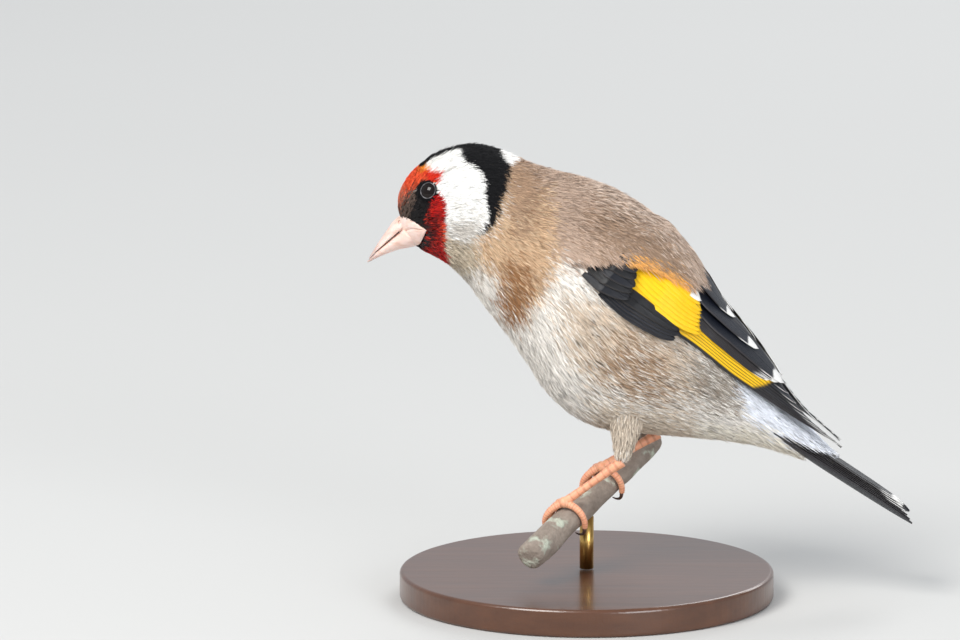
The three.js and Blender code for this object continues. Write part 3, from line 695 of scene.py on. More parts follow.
for side, turned in (("left", (math.pi, TURN)), ("right", (0, math.pi))):
    low, high = (Vector(corner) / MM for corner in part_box(f"eye_{side}"))
    centre = (low + high) / 2
    place = nearest_place(body_point, centre, (1 / LAST, 3.4 / LAST), turned)
    EYES[side] = centre, (Vector(body_point(*map(np.array, place), 0.0)) - centre).normalized()
BILL_BASE = [(388, 223), (403, 220), (412, 222), (420, 226.5), (428, 231.5), (424, 239), (418, 248),
             (405, 252), (388, 250)]  # pixels of the photograph
COVERED_ALONG = (4, 46)  # mm along the folded wing, and degrees from the back, where nothing grows under it
COVERED_ANGLE = (26, 66)
TAIL_BARE = 47.0  # mm, where the feathers of the tail come out of the coverts under them
TAIL_BARE_HEIGHT = 32.3
TAIL_BARE_FALL = 0.2


def under_tail(spine):
    """Barbs past the end of the coverts under the tail, which leave its feathers bare."""
    end = spine[:, 3]
    past = end[:, 0] - TAIL_BARE
    return (past > 0) & (end[:, 2] < TAIL_BARE_HEIGHT - TAIL_BARE_FALL * past)


def uncovered(spine):
    """Barbs that don't cross an eye, and that lie neither on the bill's base nor under a folded wing."""
    free = ~within(BILL_BASE, *seen(spine[:, 0])) & ~within(BILL_BASE, *seen(spine[:, 2]))
    for centre, look in EYES.values():
        offset = spine - np.array(centre)
        ahead = offset @ np.array(look)
        aside = np.linalg.norm(offset - ahead[..., None] * np.array(look), axis=-1)
        free &= ((aside > EYE_CLEAR) | (ahead < 0)).all(1)
    middle = spine[:, 1] - WING_START
    along = middle @ WING_AXIS
    row = at_share(hull, np.clip(along / WING_LENGTH, 0, 1))
    height = (middle @ WING_OUT - row[:, 0]) / row[:, 1]
    angle = np.degrees(np.arctan2(np.abs(middle[:, 1]) / row[:, 2], height))
    covered = (along > COVERED_ALONG[0]) & (along < COVERED_ALONG[1])
    covered &= (angle > COVERED_ANGLE[0]) & (angle < COVERED_ANGLE[1])
    return free & ~covered & ~under_tail(spine)


# Each region of the coat: first and last cross-section, first and last angle, number of tufts, length and
# width of a barb, how far its tips stand off, all in mm, and its slot. The barbs grow shorter to the bill.
REGIONS = {
    "coat_face": (0, 2.4, 0, TURN, 4400, 1.5, 0.10, 0.1, "head_plumage"),
    "coat_head_left": (2.3, 5.2, math.pi, TURN, 5400, 2.3, 0.12, 0.22, "head_plumage"),
    "coat_head_right": (2.3, 5.2, 0, math.pi, 5400, 2.3, 0.12, 0.22, "head_plumage"),
    "coat_neck_left": (5, 8, math.pi, TURN, 5400, 3.2, 0.14, 0.22, "body_plumage"),
    "coat_neck_right": (5, 8, 0, math.pi, 5400, 3.2, 0.14, 0.22, "body_plumage"),
    "coat_body_left": (7.8, 12.5, math.pi, TURN, 5600, 4.6, 0.2, 0.22, "body_plumage"),
    "coat_body_right": (7.8, 12.5, 0, math.pi, 5600, 4.6, 0.2, 0.22, "body_plumage"),
    "coat_rump": (12.3, 16.9, 0, TURN, 5000, 4.6, 0.18, 0.22, "rump_plumage"),
}
SHORTEST = 0.55  # share of its length that a barb has at the bill
FULL_GROWN = 1.5  # the cross-section where the face's barbs have their full length
for number, (name, region) in enumerate(REGIONS.items()):
    first, last, start, end, tufts, length, width, fluff, slot = region
    rng = np.random.default_rng(10 + number)
    roots = scattered(body_point, (first / LAST, last / LAST), (start, end), tufts, rng)
    length = length * np.clip(roots[0] * LAST / FULL_GROWN, SHORTEST, 1)
    piece = coat(name, body_point, roots, length, width, coat_depth(roots[0]), rng, uncovered, fluff)


# The eyes: glossy dark brown balls, sunk in the head. Each has a thin pale rim of bare lid, and round that
# a slope of skin that leads out under the tiny black feathers. Profiles are mm out and mm forward.
EYE_RADIUS = 2.6
LID_RIM = [(1.58, 2.06), (1.59, 2.16), (1.65, 2.23), (1.74, 2.22), (1.79, 2.14), (1.78, 2.05)]
LID_SLOPE = [(1.74, 2.16), (1.95, 2.12), (2.25, 1.86), (2.7, 1.3), (3.1, 0.6)]
# Painted shade: the lid's slope carries the markings darker, as it lies under the feathers.
LID_SHADE = 0.8
iris = Finish("wet_eye", Roughness=0.05, Specular_IOR_Level=0.28)
iris.colour(iris.mix(iris.noise(0.0006), tone(14, 9, 8), tone(24, 15, 12)))
lid_skin = Finish("lid_skin", Roughness=0.55)
lid_flecks = lid_skin.noise(0.0012).above(0.55, 0.15)
lid_skin.colour(lid_skin.mix(lid_flecks, tone(64, 62, 64), tone(146, 144, 146)))
lid_skin.bump(lid_skin.noise(0.00025, 2), 0.00006)


def spun(name, profile, centre, look, material):
    """A ring round the line an eye looks along, spun from a profile."""
    bm = bmesh.new()
    dots = [bm.verts.new(Vector((out, 0, forward)) * MM) for out, forward in profile]
    links = [bm.edges.new(pair) for pair in zip(dots, dots[1:])]
    axis = (0, 0, 1)
    bmesh.ops.spin(bm, geom=dots + links, cent=(0, 0, 0), axis=axis, angle=TURN, steps=56, use_merge=True)
    bmesh.ops.recalc_face_normals(bm, faces=bm.faces)
    bmesh.ops.rotate(bm, verts=bm.verts, matrix=Vector((0, 0, 1)).rotation_difference(look).to_matrix())
    bmesh.ops.translate(bm, verts=bm.verts, vec=centre * MM)
    piece = finished(bm, name, material)
    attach(piece, "root")
    return piece


for side, (centre, look) in EYES.items():
    ball = bmesh.new()
    bmesh.ops.create_uvsphere(ball, u_segments=48, v_segments=32, radius=EYE_RADIUS * MM)
    bmesh.ops.translate(ball, verts=ball.verts, vec=centre * MM)
    eye = finished(ball, f"eye_ball_{side}", iris.material)
    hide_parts(f"eye_{side}")
    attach(eye, "root")
    spun(f"lid_rim_{side}", LID_RIM, centre, look, lid_skin.material)
    slope = spun(f"lid_slope_{side}", LID_SLOPE, centre, look, down.material)
    places = np.array([vertex.co[:] for vertex in slope.data.vertices]) / MM
    paint(slope.data, LID_SHADE * plumage(places, np.random.default_rng(2)))


# The bill: two mandibles of bone under a sheath of horn, ivory tinged with pink, with a dark tip. They grow
# out of the face, and meet in a fine line that runs back to the corner of the mouth.
horn = Finish("bill_horn", Roughness=0.38, Subsurface_Weight=0.1, Subsurface_Scale=0.001)
blush = horn.noise(0.003, 3)
pale = horn.mix(blush, tone(240, 220, 214), tone(228, 190, 172))
streaks = horn.noise(0.0012, 4, vector=horn.place((0.35, 1, 1)))
fleshy = horn.mix(streaks.above(0.6, 0.14) * 0.45, pale, tone(196, 146, 120))
forwards = horn.node("ShaderNodeSeparateXYZ", inputs={"Vector": horn.place()})
tip = 1 - forwards.above(-0.0447, 0.0018)
horn.colour(horn.mix(tip * 0.55, fleshy, tone(150, 128, 124)))
horn.bump(horn.noise(0.0012, 3, vector=horn.place((0.3, 1, 1))), 0.00012)
BILL_FULLER = ([-45, -41, -38, -35], [1, 1.08, 1.2, 1.3])  # x in mm, times wider than the solid there
BITE = Vector((-0.47, 0, 0.88))  # the way the upper mandible lies from the lower
BITE_FACING = 0.6  # how squarely a face has to look at the other mandible to count as an inner one
BITE_CLOSED = 0.09  # mm that each mandible's inner face moves towards the other


def smoothed(node, name, material, levels=2, shape=None):
    """A copy of a solid's mesh with its doubles merged and its facets rounded, which stands for that solid.
    shape(vertex), if given, moves each vertex first."""
    bm = bmesh.new()
    bm.from_mesh(bpy.data.objects[node].data)
    bmesh.ops.remove_doubles(bm, verts=bm.verts, dist=2e-6)
    if shape:
        bm.normal_update()
        for vertex in bm.verts:
            shape(vertex)
    piece = finished(bm, name, material)
    modifier = piece.modifiers.new("rounding", "SUBSURF")
    modifier.levels = modifier.render_levels = levels
    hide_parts(node)
    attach(piece, "root")
    return piece


def closed_bill(inner):
    """Widens a mandible's base to meet the feathers and moves its inner face, along BITE or against it as
    inner is 1 or -1, so that the mouth narrows to a fine line."""

    def shape(vertex):
        facing = vertex.normal.dot(BITE)
        vertex.co.y *= np.interp(vertex.co.x / MM, *BILL_FULLER)
        if facing * inner > BITE_FACING:
            vertex.co += BITE * inner * BITE_CLOSED * MM

    return shape


for part, inner in (("upper", -1), ("lower", 1)):
    mandible = smoothed(f"bill_{part}", f"mandible_{part}", horn.material, 1, closed_bill(inner))


# The bill's bare base: a lip of the same horn on each side, which fills the notch between the feathers. It
# laps over the mandibles and tapers back to the corner of the mouth, with the mouth's line as a groove.
UPPER_EDGE = (399, 217)  # pixels of the photograph: the ends of its front edge and the corner of the mouth
LOWER_EDGE = (417.5, 247)
MOUTH_CORNER = (427, 231.5)
GAPE_LIP = 0.15  # share of the base that laps over the mandibles
LIP_RUN = 40  # hundredths of the body's length that the lip runs forward, times its share
LIP_TUCK = 4  # mm that it tucks in under the feathers, times its share
GAPE_PROUD = 0.05  # mm that its middle stands over the feathers
EDGES_SUNK = 0.45  # mm that its edges sink into the feathers, and the corner of the mouth
CORNER_SUNK = 0.35
MOUTH_LINE = -0.15  # where the mouth's line runs, from -1 at the upper edge to 1 at the lower
GROOVE_DEPTH = 0.55
GROOVE_WIDTH = 0.06  # as a share of half the base's height
GAPE_STEPS = (96, 24)
HEAD_SHARES = (0, 0.3)  # the shares of the body's length that hold the face


def body_place(x, y):
    """The share and angle on the near side of the body that shows at a pixel of the photograph."""
    near_side = (math.pi, TURN)
    pixels = lambda points: np.stack(seen(points), -1)
    return nearest_place(body_point, (x, y), HEAD_SHARES, near_side, pixels)


def place_angle(angle, sign):
    """An angle of the near side, as it is for the side of the given sign."""
    return angle if sign < 0 else TURN - angle


def gape_surface(sign):
    """The bare base on one side, as a surface for sculpted()."""
    upper_edge, lower_edge, mouth_corner = (body_place(*p) for p in (UPPER_EDGE, LOWER_EDGE, MOUTH_CORNER))

    def surface(u, v):
        r = 2 * u - 1
        forward = np.maximum(GAPE_LIP - v, 0)[:, None]
        v = np.maximum(v - GAPE_LIP, 0) / (1 - GAPE_LIP)
        front = [upper + (lower - upper) * u for upper, lower in zip(upper_edge, lower_edge)]
        share, angle = (start + (corner - start) * v for start, corner in zip(front, mouth_corner))
        groove = GROOVE_DEPTH * np.exp(-(((r - MOUTH_LINE) / GROOVE_WIDTH) ** 2)) * (1 - 0.5 * v)
        proud = GAPE_PROUD - EDGES_SUNK * np.abs(r) ** 3 - groove - CORNER_SUNK * v**2
        point = body_point(share, place_angle(angle, sign), proud)
        run = body_point(share, angle, 0) - body_point(share + 0.01, angle, 0)
        return point + forward * (LIP_RUN * run * (1, -sign, 1) - np.array((0, sign * LIP_TUCK, 0)))

    return surface


for side, sign in (("left", -1), ("right", 1)):
    patch = sculpted(*GAPE_STEPS, gape_surface(sign))
    bmesh.ops.recalc_face_normals(patch, faces=patch.faces)
    gape = finished(patch, f"gape_{side}", horn.material)
    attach(gape, "root")


# The wings: stiff flight feathers in tiers, folded on each other under three rows of coverts and rooted in
# the flesh. They are black, with yellow across the primaries and the greater coverts, and with white tips.
def wing_point(sign, along, angle, proud=0.0):
    """Points over the folded wing, by mm along its axis, degrees from the back and mm proud of it."""

    def surface(u, a):
        row = at_share(hull, np.clip(u / WING_LENGTH, 0, 1))
        a = np.radians(a)
        rise = row[..., 0] + row[..., 1] * np.cos(a)
        aside = sign * row[..., 2] * np.sin(a)
        middle = WING_START + u[..., None] * WING_AXIS
        return middle + rise[..., None] * WING_OUT + aside[..., None] * (0, 1, 0)

    along, angle = np.broadcast_arrays(np.asarray(along, float), np.asarray(angle, float))
    run = surface(along + 0.5, angle) - surface(along - 0.5, angle)
    round_ = surface(along, angle + 1) - surface(along, angle - 1)
    normal = np.cross(run, round_)
    normal /= np.linalg.norm(normal, axis=-1, keepdims=True)
    turn = np.radians(angle)[..., None]
    outwards = np.cos(turn) * WING_OUT + np.sin(turn) * (0, sign, 0)
    normal *= np.sign((normal * outwards).sum(-1, keepdims=True))
    return surface(along, angle) + normal * np.asarray(proud)[..., None], normal, run


# Each tier of feathers, from its first, upper one to its last, lower one. A feather is given by the places
# of its root and its tip, in mm along the wing and degrees from the back, and by its width and lift in mm.
# gold is where yellow starts and ends, in mm along the wing. white is the share of the first and of the
# last feather's length where a white tip starts. round is how blunt a tip is.
NONE = 2  # a share past a feather's tip, for one without that colour
TIERS = {
    "tertials": {
        "count": 3, "first": ((16, 22), (34, 14), 8.0, 1.0), "last": ((19, 39), (50.5, 29), 8.4, 0.8),
        "gold": (0, 0), "white": (0.86, 0.91), "round": 4},
    "secondaries": {
        "count": 5, "first": ((20, 44), (49.5, 37), 5.4, 0.7), "last": ((22, 50.5), (47.5, 46), 4.6, 0.5),
        "gold": (0, 0), "white": (0.94, 0.95), "round": 6},
    "primaries": {
        "count": 8, "first": ((21, 52), (53, 36), 4.2, 0.45), "last": ((21, 67.5), (69.5, 64), 3.2, 0.1),
        "gold": (0, 48), "white": (1, 1), "round": 5},
    "greater_coverts": {
        "count": 9, "first": ((8, 38), (25, 39), 5.0, 1.1), "last": ((7, 62), (28.5, 61), 4.2, 0.95),
        "gold": (0, 60), "white": (0.84, 2.2), "round": 4},
    "primary_coverts": {
        "count": 5, "first": ((3, 72), (24.4, 67.5), 3.8, 1.3), "last": ((6, 79), (24.6, 75), 3.0, 0.7),
        "gold": (0, 0), "white": (NONE, NONE), "round": 3},
    "median_coverts": {
        "count": 6, "first": ((2, 52), (9, 54), 4.6, 1.4), "last": ((1, 77), (12, 71), 4.2, 1.4),
        "gold": (0, 0), "white": (NONE, NONE), "round": 3},
}
BLACK_EDGE = "primaries"  # the tier whose last feather has no yellow
GOLD_STAGGER = 0.07  # how much earlier, as a share of its length, a tier's last feather loses its yellow
TILT = 0.24  # mm that a feather's lower edge lies under its middle
CROWNED = 0.14  # mm that its middle stands over its edges
ROOT_WIDTH = 0.5  # share of its width
SUNK = -0.5  # mm that its root lies under the wing's surface
VANE_THICK = 0.14
VANE_ROWS = 36
VANE_COLUMNS = 10
VANE_FACTS = ("length", "own", "gold_from", "gold_to", "white_from")
VANE_UNIT = 40  # mm, the span of a feather whose length is stored as 1
TIP_STRAY = (0.25, 0.2)  # mm along the wing and degrees that a tip strays from its place
PAINTED_SHEEN = {"tertials": 0.3, "secondaries": 0.3}  # how much more painted bluish sheen, a reflection of the sky, a tier's black has than the others'
PAINTED_SHEEN_STRAY = 0.6  # and how much more of that painted sheen one feather may have than the next


def outline(share, roundness):
    """Share of a feather's full width along it."""
    root = ROOT_WIDTH + (1 - ROOT_WIDTH) * np.minimum(1, share * 2.5)
    return root * np.sqrt(np.maximum(1 - share**roundness, 0.0))


def add_vane(bm, surface, facts):
    """Adds one feather: a grid bent to surface(along, across), with its facts stored on each vertex."""
    layers = [bm.verts.layers.float[name] for name in ("along", "across", *VANE_FACTS)]
    made = bmesh.ops.create_grid(bm, x_segments=VANE_COLUMNS, y_segments=VANE_ROWS, size=0.5)["verts"]
    shares = np.array([vertex.co[:2] for vertex in made])
    across, along = shares[:, 0] * 2, np.clip(shares[:, 1] + 0.5, 0, 0.999)
    for vertex, point, s, r in zip(made, surface(along, across), along, across):
        vertex.co = Vector(point) * MM
        for layer, value in zip(layers, (s, r, *facts)):
            vertex[layer] = value


def new_vanes():
    """An empty mesh that can hold the facts of its feathers."""
    bm = bmesh.new()
    for name in ("along", "across", *VANE_FACTS):
        bm.verts.layers.float.new(name)
    return bm


def finished_vanes(bm, name, node, thick):
    """Feathers as a piece that stands for a solid, each of a thickness in mm."""
    bmesh.ops.recalc_face_normals(bm, faces=bm.faces)
    piece = finished(bm, name, vane.material)
    solid = piece.modifiers.new("thickness", "SOLIDIFY")
    solid.thickness = thick * MM
    solid.offset = 0
    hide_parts(node)
    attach(piece, "root")


vane = Finish("vane", Roughness=0.36, Specular_IOR_Level=0.4)
along, across = vane.attribute("along"), vane.attribute("across")
length, own = vane.attribute("length"), vane.attribute("own")
slant = across.maths("ABSOLUTE", across)
barb_run = {"X": along * length * 90 - slant * 60, "Y": across * 4, "Z": own * 9}
barb_vector = vane.node("ShaderNodeCombineXYZ", inputs=barb_run)
ragged = vane.node("ShaderNodeTexNoise", inputs={"Vector": barb_vector, "Scale": 1.0, "Detail": 2.0}) - 0.5
reach = along + ragged * 0.05
# The black of the vanes carries a painted bluish sheen, a reflection of the sky, by each feather's own
# share.
black = vane.mix(own, tone(11, 11, 14), tone(24, 29, 42))
rim = slant.above(0.86, 0.08)
brown = vane.mix(rim * 0.35, black, tone(70, 62, 58))


def step(value, edge, soft):
    """A soft step of a value at an edge that is itself a term."""
    return (value - edge).above(0, soft)


gold_to = vane.attribute("gold_to")
golden = step(reach, vane.attribute("gold_from"), 0.012) * (1 - step(reach, gold_to, 0.014))
yellow = vane.mix(vane.noise(0.0015), tone(238, 182, 2), tone(246, 202, 6))
streak = slant.above(0.07, 0.035)
yellow = vane.mix(1 - streak, yellow, tone(150, 110, 20))
flight = 1 - step(gold_to, 1.1, 0.01)  # 1 on a feather whose yellow ends before its tip
yellow = vane.mix(slant.above(0.9, 0.05) * flight * 0.55, yellow, tone(40, 32, 8))
with_gold = vane.mix(golden, brown, yellow)
white_from = vane.attribute("white_from")
white_tip = step(reach + (1 - slant) * 0.02, white_from, 0.01)
fringe = step(reach, white_from - 0.1, 0.04) * slant.above(0.93, 0.05) * (1 - golden)
white = white_tip.maths("MAXIMUM", white_tip, fringe * 0.8)
vane.colour(vane.mix(white, with_gold, tone(246, 244, 240)))
shaft = 1 - slant.above(0.05, 0.03)
vane.bump(ragged * 0.5 + shaft, 0.00012)


def row_share(first, last, share):
    """What lies at a share of the way from a row's first value to its last."""
    return np.array(first) * (1 - share) + np.array(last) * share


def lay_wing(side, sign):
    """All the stiff feathers of one wing, a mesh for each tier."""
    for number, (tier, facts) in enumerate(TIERS.items()):
        count, first, last, white = (facts[key] for key in ("count", "first", "last", "white"))
        bm = new_vanes()
        rng = np.random.default_rng(50 + number)
        for i in range(count):
            share = i / (count - 1)
            root, tip = row_share(first[0], last[0], share), row_share(first[1], last[1], share)
            width, lift = row_share(first[2:], last[2:], share)
            tip = tip + rng.normal(size=2) * TIP_STRAY

            def surface(s, r):
                u, a = root[0] + (tip[0] - root[0]) * s, root[1] + (tip[1] - root[1]) * s
                proud = SUNK + (lift - SUNK) * np.minimum(1, 2 * s) - TILT * r + CROWNED * (1 - r * r)
                point, normal, run = wing_point(sign, u, a, 0.0)
                lower = np.cross(run, normal) * -sign
                lower /= np.linalg.norm(lower, axis=-1, keepdims=True)
                half = (width / 2 * outline(s, facts["round"]) * r)[..., None]
                return point - lower * half + normal * proud[..., None]

            span = float(tip[0] - root[0])
            # The share of painted bluish sheen, a reflection of the sky, on this feather's black.
            blue = rng.random() * PAINTED_SHEEN_STRAY + PAINTED_SHEEN.get(tier, 0)
            gold = [(place - root[0]) / span for place in facts["gold"]]
            gold[1] -= GOLD_STAGGER * share
            if tier == BLACK_EDGE and i == count - 1:
                gold = NONE, NONE
            white_from = white[0] + (white[1] - white[0]) * share
            add_vane(bm, surface, (span / VANE_UNIT, blue, *gold, white_from))
        finished_vanes(bm, f"wing_{side}_{tier}", f"wing_{side}", VANE_THICK)


lay_wing("left", -1)
lay_wing("right", 1)


# The scapulars: soft feathers of the mantle, rooted along the shoulder, that lie over the tops and fronts of
# the folded wings. Their coat lies on the wing, closer to it near the ridge of the back.
SCAPULAR_SPAN = (-7, 25)  # mm along the wing
SCAPULAR_EDGE = ([-6, 1, 5, 12, 19, 24], [80, 66, 56, 49, 41, 14])  # mm along, lower edge in degrees
SCAPULAR_FRONT = ([0, 30, 60], [5, 0, -7])  # degrees, mm along the wing
SCAPULAR_LIFT = ([0, 25, 50], [0.7, 1.5, 1.95])  # degrees, mm
SCAPULAR_SLOPE = 9  # mm along the wing in which the coat rises to its full lift
SCAPULAR_TUCK = 2.4  # mm that its front edge lies under the wing's surface, in the coat of the body
SCAPULAR_ANGLES = (-5, 78)  # degrees from the back between which it is rooted
SCAPULAR_TUFTS = 4200
SCAPULAR_BARB = (4.2, 0.2)  # mm, length and width
SCAPULAR_DEPTH = 1.4
SCAPULAR_FLUFF = 0.15
for side, sign in (("left", -1), ("right", 1)):
    def over_wing(share, angle, proud, sign=sign):
        degrees = np.degrees(angle)
        behind = share * WING_LENGTH - np.interp(degrees, *SCAPULAR_FRONT)
        risen = np.clip(behind / SCAPULAR_SLOPE, 0, 1)
        lift = np.interp(degrees, *SCAPULAR_LIFT) * risen - SCAPULAR_TUCK * (1 - risen)
        return wing_point(sign, share * WING_LENGTH, degrees, np.asarray(proud) + lift)[0]

    def mantle(share, angle):
        along, degrees = share * WING_LENGTH, np.degrees(angle)
        over = (degrees < np.interp(along, *SCAPULAR_EDGE)) & (along > np.interp(degrees, *SCAPULAR_FRONT))
        return over.astype(float)

    rng = np.random.default_rng(70)
    shares = [edge / WING_LENGTH for edge in SCAPULAR_SPAN]
    angles = [math.radians(angle) for angle in SCAPULAR_ANGLES]
    roots = scattered(over_wing, shares, angles, SCAPULAR_TUFTS, rng, mantle)
    scapulars = coat(f"coat_scapulars_{side}", over_wing, roots, *SCAPULAR_BARB, SCAPULAR_DEPTH, rng,
                     fluff=SCAPULAR_FLUFF)


# The tail: twelve stiff feathers in a closed, forked fan, black with white at the tips of the middle ones.
# They are rooted in the rump between the coverts above and below, the outer ones lower and rolled down.
TAIL_ROOT = np.array([(40.5, 0.4, 38.6), (38.0, 4.6, 37.5)])  # mm, of a middle feather and of an outer one
TAIL_TIP = np.array([(66.9, 1.2, 20.9), (69.3, 6.2, 17.4)])
TAIL_WIDTH = 5.6
TAIL_ROLL = math.radians(20)
TAIL_PAIRS = 6
TAIL_WHITES = (0.95, 0.955, 0.97, NONE, NONE, NONE)  # shares where the white tips start, middle first
TAIL_THICK = 0.16
TAIL_ROUND = 5
TAIL_CROWNED = 0.15  # mm that a feather's middle stands over its edges
TAIL_LENGTH = 0.8  # of a feather, as the vanes store it
TAIL_PAINTED_SHEEN = (0.2, 0.1)  # painted bluish sheen, a reflection of the sky, on the middle feathers' black, and how much more on each next one
tail_bm = new_vanes()
for pair in range(TAIL_PAIRS):
    for sign in (-1, 1):
        share = pair / (TAIL_PAIRS - 1)
        root, tip = (row_share(*ends, share) * (1, sign, 1) for ends in (TAIL_ROOT, TAIL_TIP))
        run = (tip - root) / np.linalg.norm(tip - root)
        normal = np.cross((0, 1, 0), run)
        normal /= np.linalg.norm(normal)
        level = np.cross(run, normal)
        roll = -sign * TAIL_ROLL * share
        flat = level * math.cos(roll) + normal * math.sin(roll)
        top = np.cross(flat, run)

        def surface(s, r):
            half = TAIL_WIDTH / 2 * outline(s, TAIL_ROUND) * r
            crown = TAIL_CROWNED * (1 - r * r)
            return root + (tip - root) * s[:, None] + flat * half[:, None] + top * crown[:, None]

        # The painted bluish sheen of the black grows towards the outer feathers.
        blue = TAIL_PAINTED_SHEEN[0] + TAIL_PAINTED_SHEEN[1] * pair
        add_vane(tail_bm, surface, (TAIL_LENGTH, blue, 0, 0, TAIL_WHITES[pair]))
finished_vanes(tail_bm, "tail_feathers", "tail", TAIL_THICK)


# The legs: thighs in short pale feathers, and bare orange-pink shanks and toes, in skin with horny scutes
# across their fronts. Four toes, three forward and one back, grip the perch with dark claws.
PERCH_MIDDLE = np.array((0, 0, 20.7))
PERCH_RUN = np.array((0.52, 0.78, 0.334)) / math.hypot(0.52, 0.78, 0.334)
PERCH_UP = np.array((0, 0, 1)) - PERCH_RUN * PERCH_RUN[2]
PERCH_UP /= np.linalg.norm(PERCH_UP)
PERCH_FORWARD = np.cross(PERCH_UP, PERCH_RUN)
FOOT_RISE = 4.05  # from the perch's axis to the middle of a toe
TOE_RADII = (0.85, 0.74, 0.68, 0.6)
# For each toe the angles round the perch, in degrees, where it starts and ends, and the mm that it spreads.
TOES = {"hind": (-8, -112, 0.2), "inner": (8, 92, -2.9), "middle": (8, 128, -0.1), "outer": (8, 100, 2.7)}
TOE_POINTS = 9
SHANK_RADII = (1.2, 0.82, 0.95)
PAD_RADIUS = 1.2  # of the pad under the toes' roots
PAD_RISE = 0.3  # from the middle of a toe to the middle of the pad
TOE_SCUTES = 13
SHANK_SCUTES = 9
SCUTE_RINGS = 6
SCUTE_STEP = 0.07  # mm between the upper and the lower edge of a scute
SCUTE_WRAP = 0.6  # how far round the limb the scutes reach
FURROW_FROM = 0.8  # share of a scute where the dark furrow below it starts
LIMB_SIDES = 20
THIGH_SHARES = (0.1, 0.93)  # between which the thigh's coat is rooted
THIGH_TUFTS = 1000
THIGH_BARB = (2.4, 0.14)  # mm, length and width
leg_skin = Finish("leg_skin", Roughness=0.45, Subsurface_Weight=0.15, Subsurface_Scale=0.001)
leg_tone = leg_skin.mix(leg_skin.noise(0.002), tone(240, 180, 144), tone(222, 150, 116))
furrow = leg_skin.attribute("furrow")
leg_skin.colour(leg_skin.mix(furrow * 0.5, leg_tone, tone(170, 104, 78)))
leg_skin.bump(leg_skin.noise(0.0003, 3), 0.00004)
claw_horn = Finish("claw_horn", Roughness=0.35)
claw_horn.colour(claw_horn.mix(claw_horn.noise(0.001), tone(96, 70, 58), tone(60, 44, 38)))


def perch_point(along, angle, distance):
    """A point by its distance along the perch, angle from the top forwards and distance from the axis."""
    return (PERCH_MIDDLE + PERCH_RUN * along + PERCH_UP * distance * math.cos(angle)
            + PERCH_FORWARD * distance * math.sin(angle))


def toe_path(foot, start, end, spread):
    """Points along a toe's middle, from the pad to the claw."""
    for share in np.linspace(0, 1, TOE_POINTS):
        angle = math.radians(start + (end - start) * share)
        yield perch_point(foot + spread * math.sin(share * math.pi / 2), angle, FOOT_RISE)


def scaled_limb(bm, path, radii, front, scutes):
    """Adds a closed limb whose skin is stepped by scutes on its front, with a furrow below each."""
    surface = round_limb(path, radii, front)
    furrows = bm.verts.layers.float["furrow"]

    def bend(u, v):
        angle = TURN * u
        steps = (v * scutes) % 1
        on_front = np.clip(SCUTE_WRAP + np.cos(angle), 0, 1)
        return surface(v, angle, SCUTE_STEP * (0.5 - steps) * on_front)

    limb = closed(sculpted(LIMB_SIDES, scutes * SCUTE_RINGS, bend))
    known = len(bm.verts)
    part = bpy.data.meshes.new("part")
    limb.to_mesh(part)
    bm.from_mesh(part)
    bm.verts.ensure_lookup_table()
    line = through(path, 201)
    for vertex in bm.verts[known:]:
        share = np.linalg.norm(line - np.array(vertex.co) / MM, axis=-1).argmin() / 200
        vertex[furrows] = float(((share * scutes) % 1) > FURROW_FROM)


def limb_mesh():
    """An empty mesh that can hold the furrows of its skin."""
    bm = bmesh.new()
    bm.verts.layers.float.new("furrow")
    return bm


for side, leg in LEGS.items():
    foot = perch_point(leg["foot"], 0, FOOT_RISE + PAD_RISE)
    shank_bm = limb_mesh()
    ankle = np.array(leg["ankle"])
    scaled_limb(shank_bm, [ankle, (ankle + foot) / 2, foot], SHANK_RADII, (-1.0, 0, 0), SHANK_SCUTES)
    shank = finished(shank_bm, f"shank_{side}", leg_skin.material)
    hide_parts(f"tarsus_{side}")
    toes_bm = limb_mesh()
    for start, end, spread in TOES.values():
        path = list(toe_path(leg["foot"], start, end, spread))
        knuckle = path[TOE_POINTS // 2] - PERCH_MIDDLE
        outward = knuckle - PERCH_RUN * (knuckle @ PERCH_RUN)
        scaled_limb(toes_bm, path, TOE_RADII, tuple(outward), TOE_SCUTES)
    pad = bmesh.ops.create_uvsphere(toes_bm, u_segments=24, v_segments=16, radius=PAD_RADIUS * MM)
    bmesh.ops.translate(toes_bm, verts=pad["verts"], vec=Vector(foot) * MM)
    toes = finished(toes_bm, f"toes_{side}", leg_skin.material)
    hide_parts(f"foot_{side}")
    for piece in (shank, toes):
        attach(piece, "root")
    for toe in TOES:
        smoothed(f"claw_{side}_{toe}", f"nail_{side}_{toe}", claw_horn.material, 2)
    rng = np.random.default_rng(90)
    roots = scattered(thigh_surfaces[side], THIGH_SHARES, (0, TURN), THIGH_TUFTS, rng)
    thigh = coat(f"coat_thigh_{side}", thigh_surfaces[side], roots, *THIGH_BARB, THIGH_DEPTH, rng)


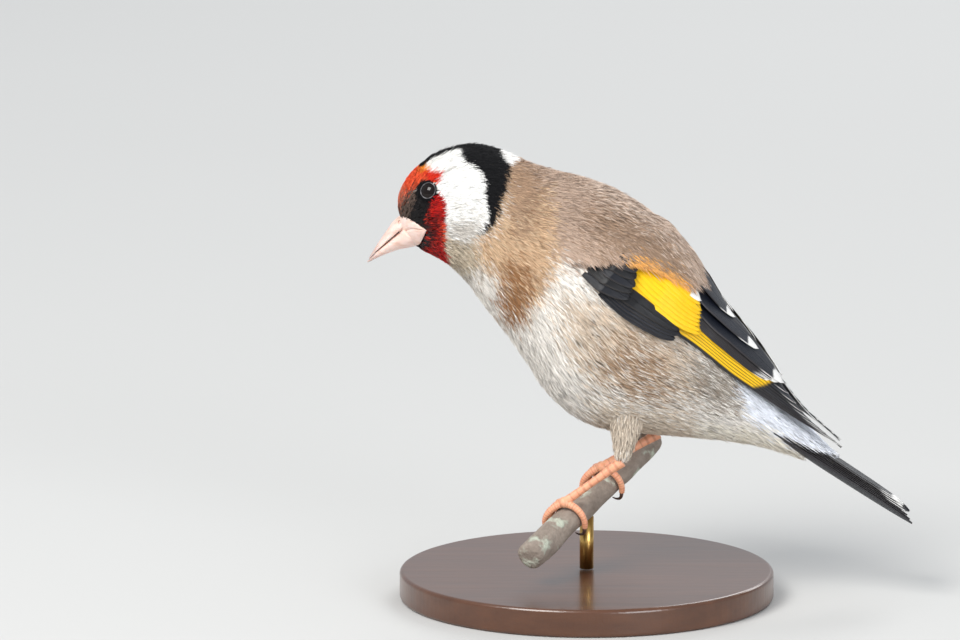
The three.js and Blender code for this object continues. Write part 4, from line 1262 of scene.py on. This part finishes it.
# The perch: a cut length of a grey branch with the stub of a twig. Its bark is finely furrowed along its
# length and carries crusts of lichen. The rod of the stand carries it from below.
bark = Finish("bark", Roughness=0.9)
grain = bark.noise(0.0012, 6, 0.65, bark.place((0.5, 0.35, 0.6)))
wood = bark.mix(grain, tone(92, 78, 68), tone(176, 164, 152))
lichen = bark.noise(0.005, 4).above(0.6, 0.05)
bark.colour(bark.mix(lichen, wood, tone(186, 192, 176)))
bark.bump(grain + lichen * 0.3, 0.0006)
smoothed("perch_branch", "perch_bark", bark.material, 2)


# The stand: a turned round base of dark varnished wood with a softened rim, and a thin brass rod that is
# fixed in its middle and carries the perch.
BASE_RADIUS = 40
BASE_HEIGHT = 6
BASE_ROUND = 0.8  # mm, the softening of its rim
ROD_RADIUS = 1.5
FLAT = 1e-6  # metres, less than which an edge's ends are at one height
varnish = Finish("varnished_wood", Roughness=0.3, Coat_Weight=0.4, Coat_Roughness=0.15)
rings = varnish.noise(0.004, 5, 0.6, varnish.place((0.12, 1, 1)))
varnish.colour(varnish.mix(rings, tone(58, 34, 22), tone(104, 64, 40)))
varnish.bump(rings, 0.00006)

disc = bmesh.new()
bmesh.ops.create_cone(disc, cap_ends=True, segments=160, radius1=BASE_RADIUS * MM, radius2=BASE_RADIUS * MM,
                      depth=BASE_HEIGHT * MM)
bmesh.ops.translate(disc, verts=disc.verts, vec=(0, 0, BASE_HEIGHT / 2 * MM))
edges = [edge for edge in disc.edges if abs(edge.verts[0].co.z - edge.verts[1].co.z) < FLAT]
bmesh.ops.bevel(disc, geom=edges, offset=BASE_ROUND * MM, offset_type="OFFSET", segments=4, profile=0.5,
                affect="EDGES", material=-1)
base = finished(disc, "base", varnish.material, smooth=False)
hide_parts("stand_base")
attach(base, "root")
brass = Finish("satin_brass", Metallic=1.0, Roughness=0.3)
brass.colour(brass.mix(brass.noise(0.002), tone(190, 152, 84), tone(206, 170, 104)))
low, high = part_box("stand_rod")
post = bmesh.new()
bmesh.ops.create_cone(post, cap_ends=True, segments=64, radius1=ROD_RADIUS * MM, radius2=ROD_RADIUS * MM,
                      depth=high[2] - low[2])
bmesh.ops.translate(post, verts=post.verts, vec=(0, 0, (high[2] + low[2]) / 2))
rod = finished(post, "rod", brass.material)
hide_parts("stand_rod")
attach(rod, "root")

boxes = {"cad": cad_box, "visual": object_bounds()}
{name: [list(corner) for corner in box] for name, box in boxes.items()}
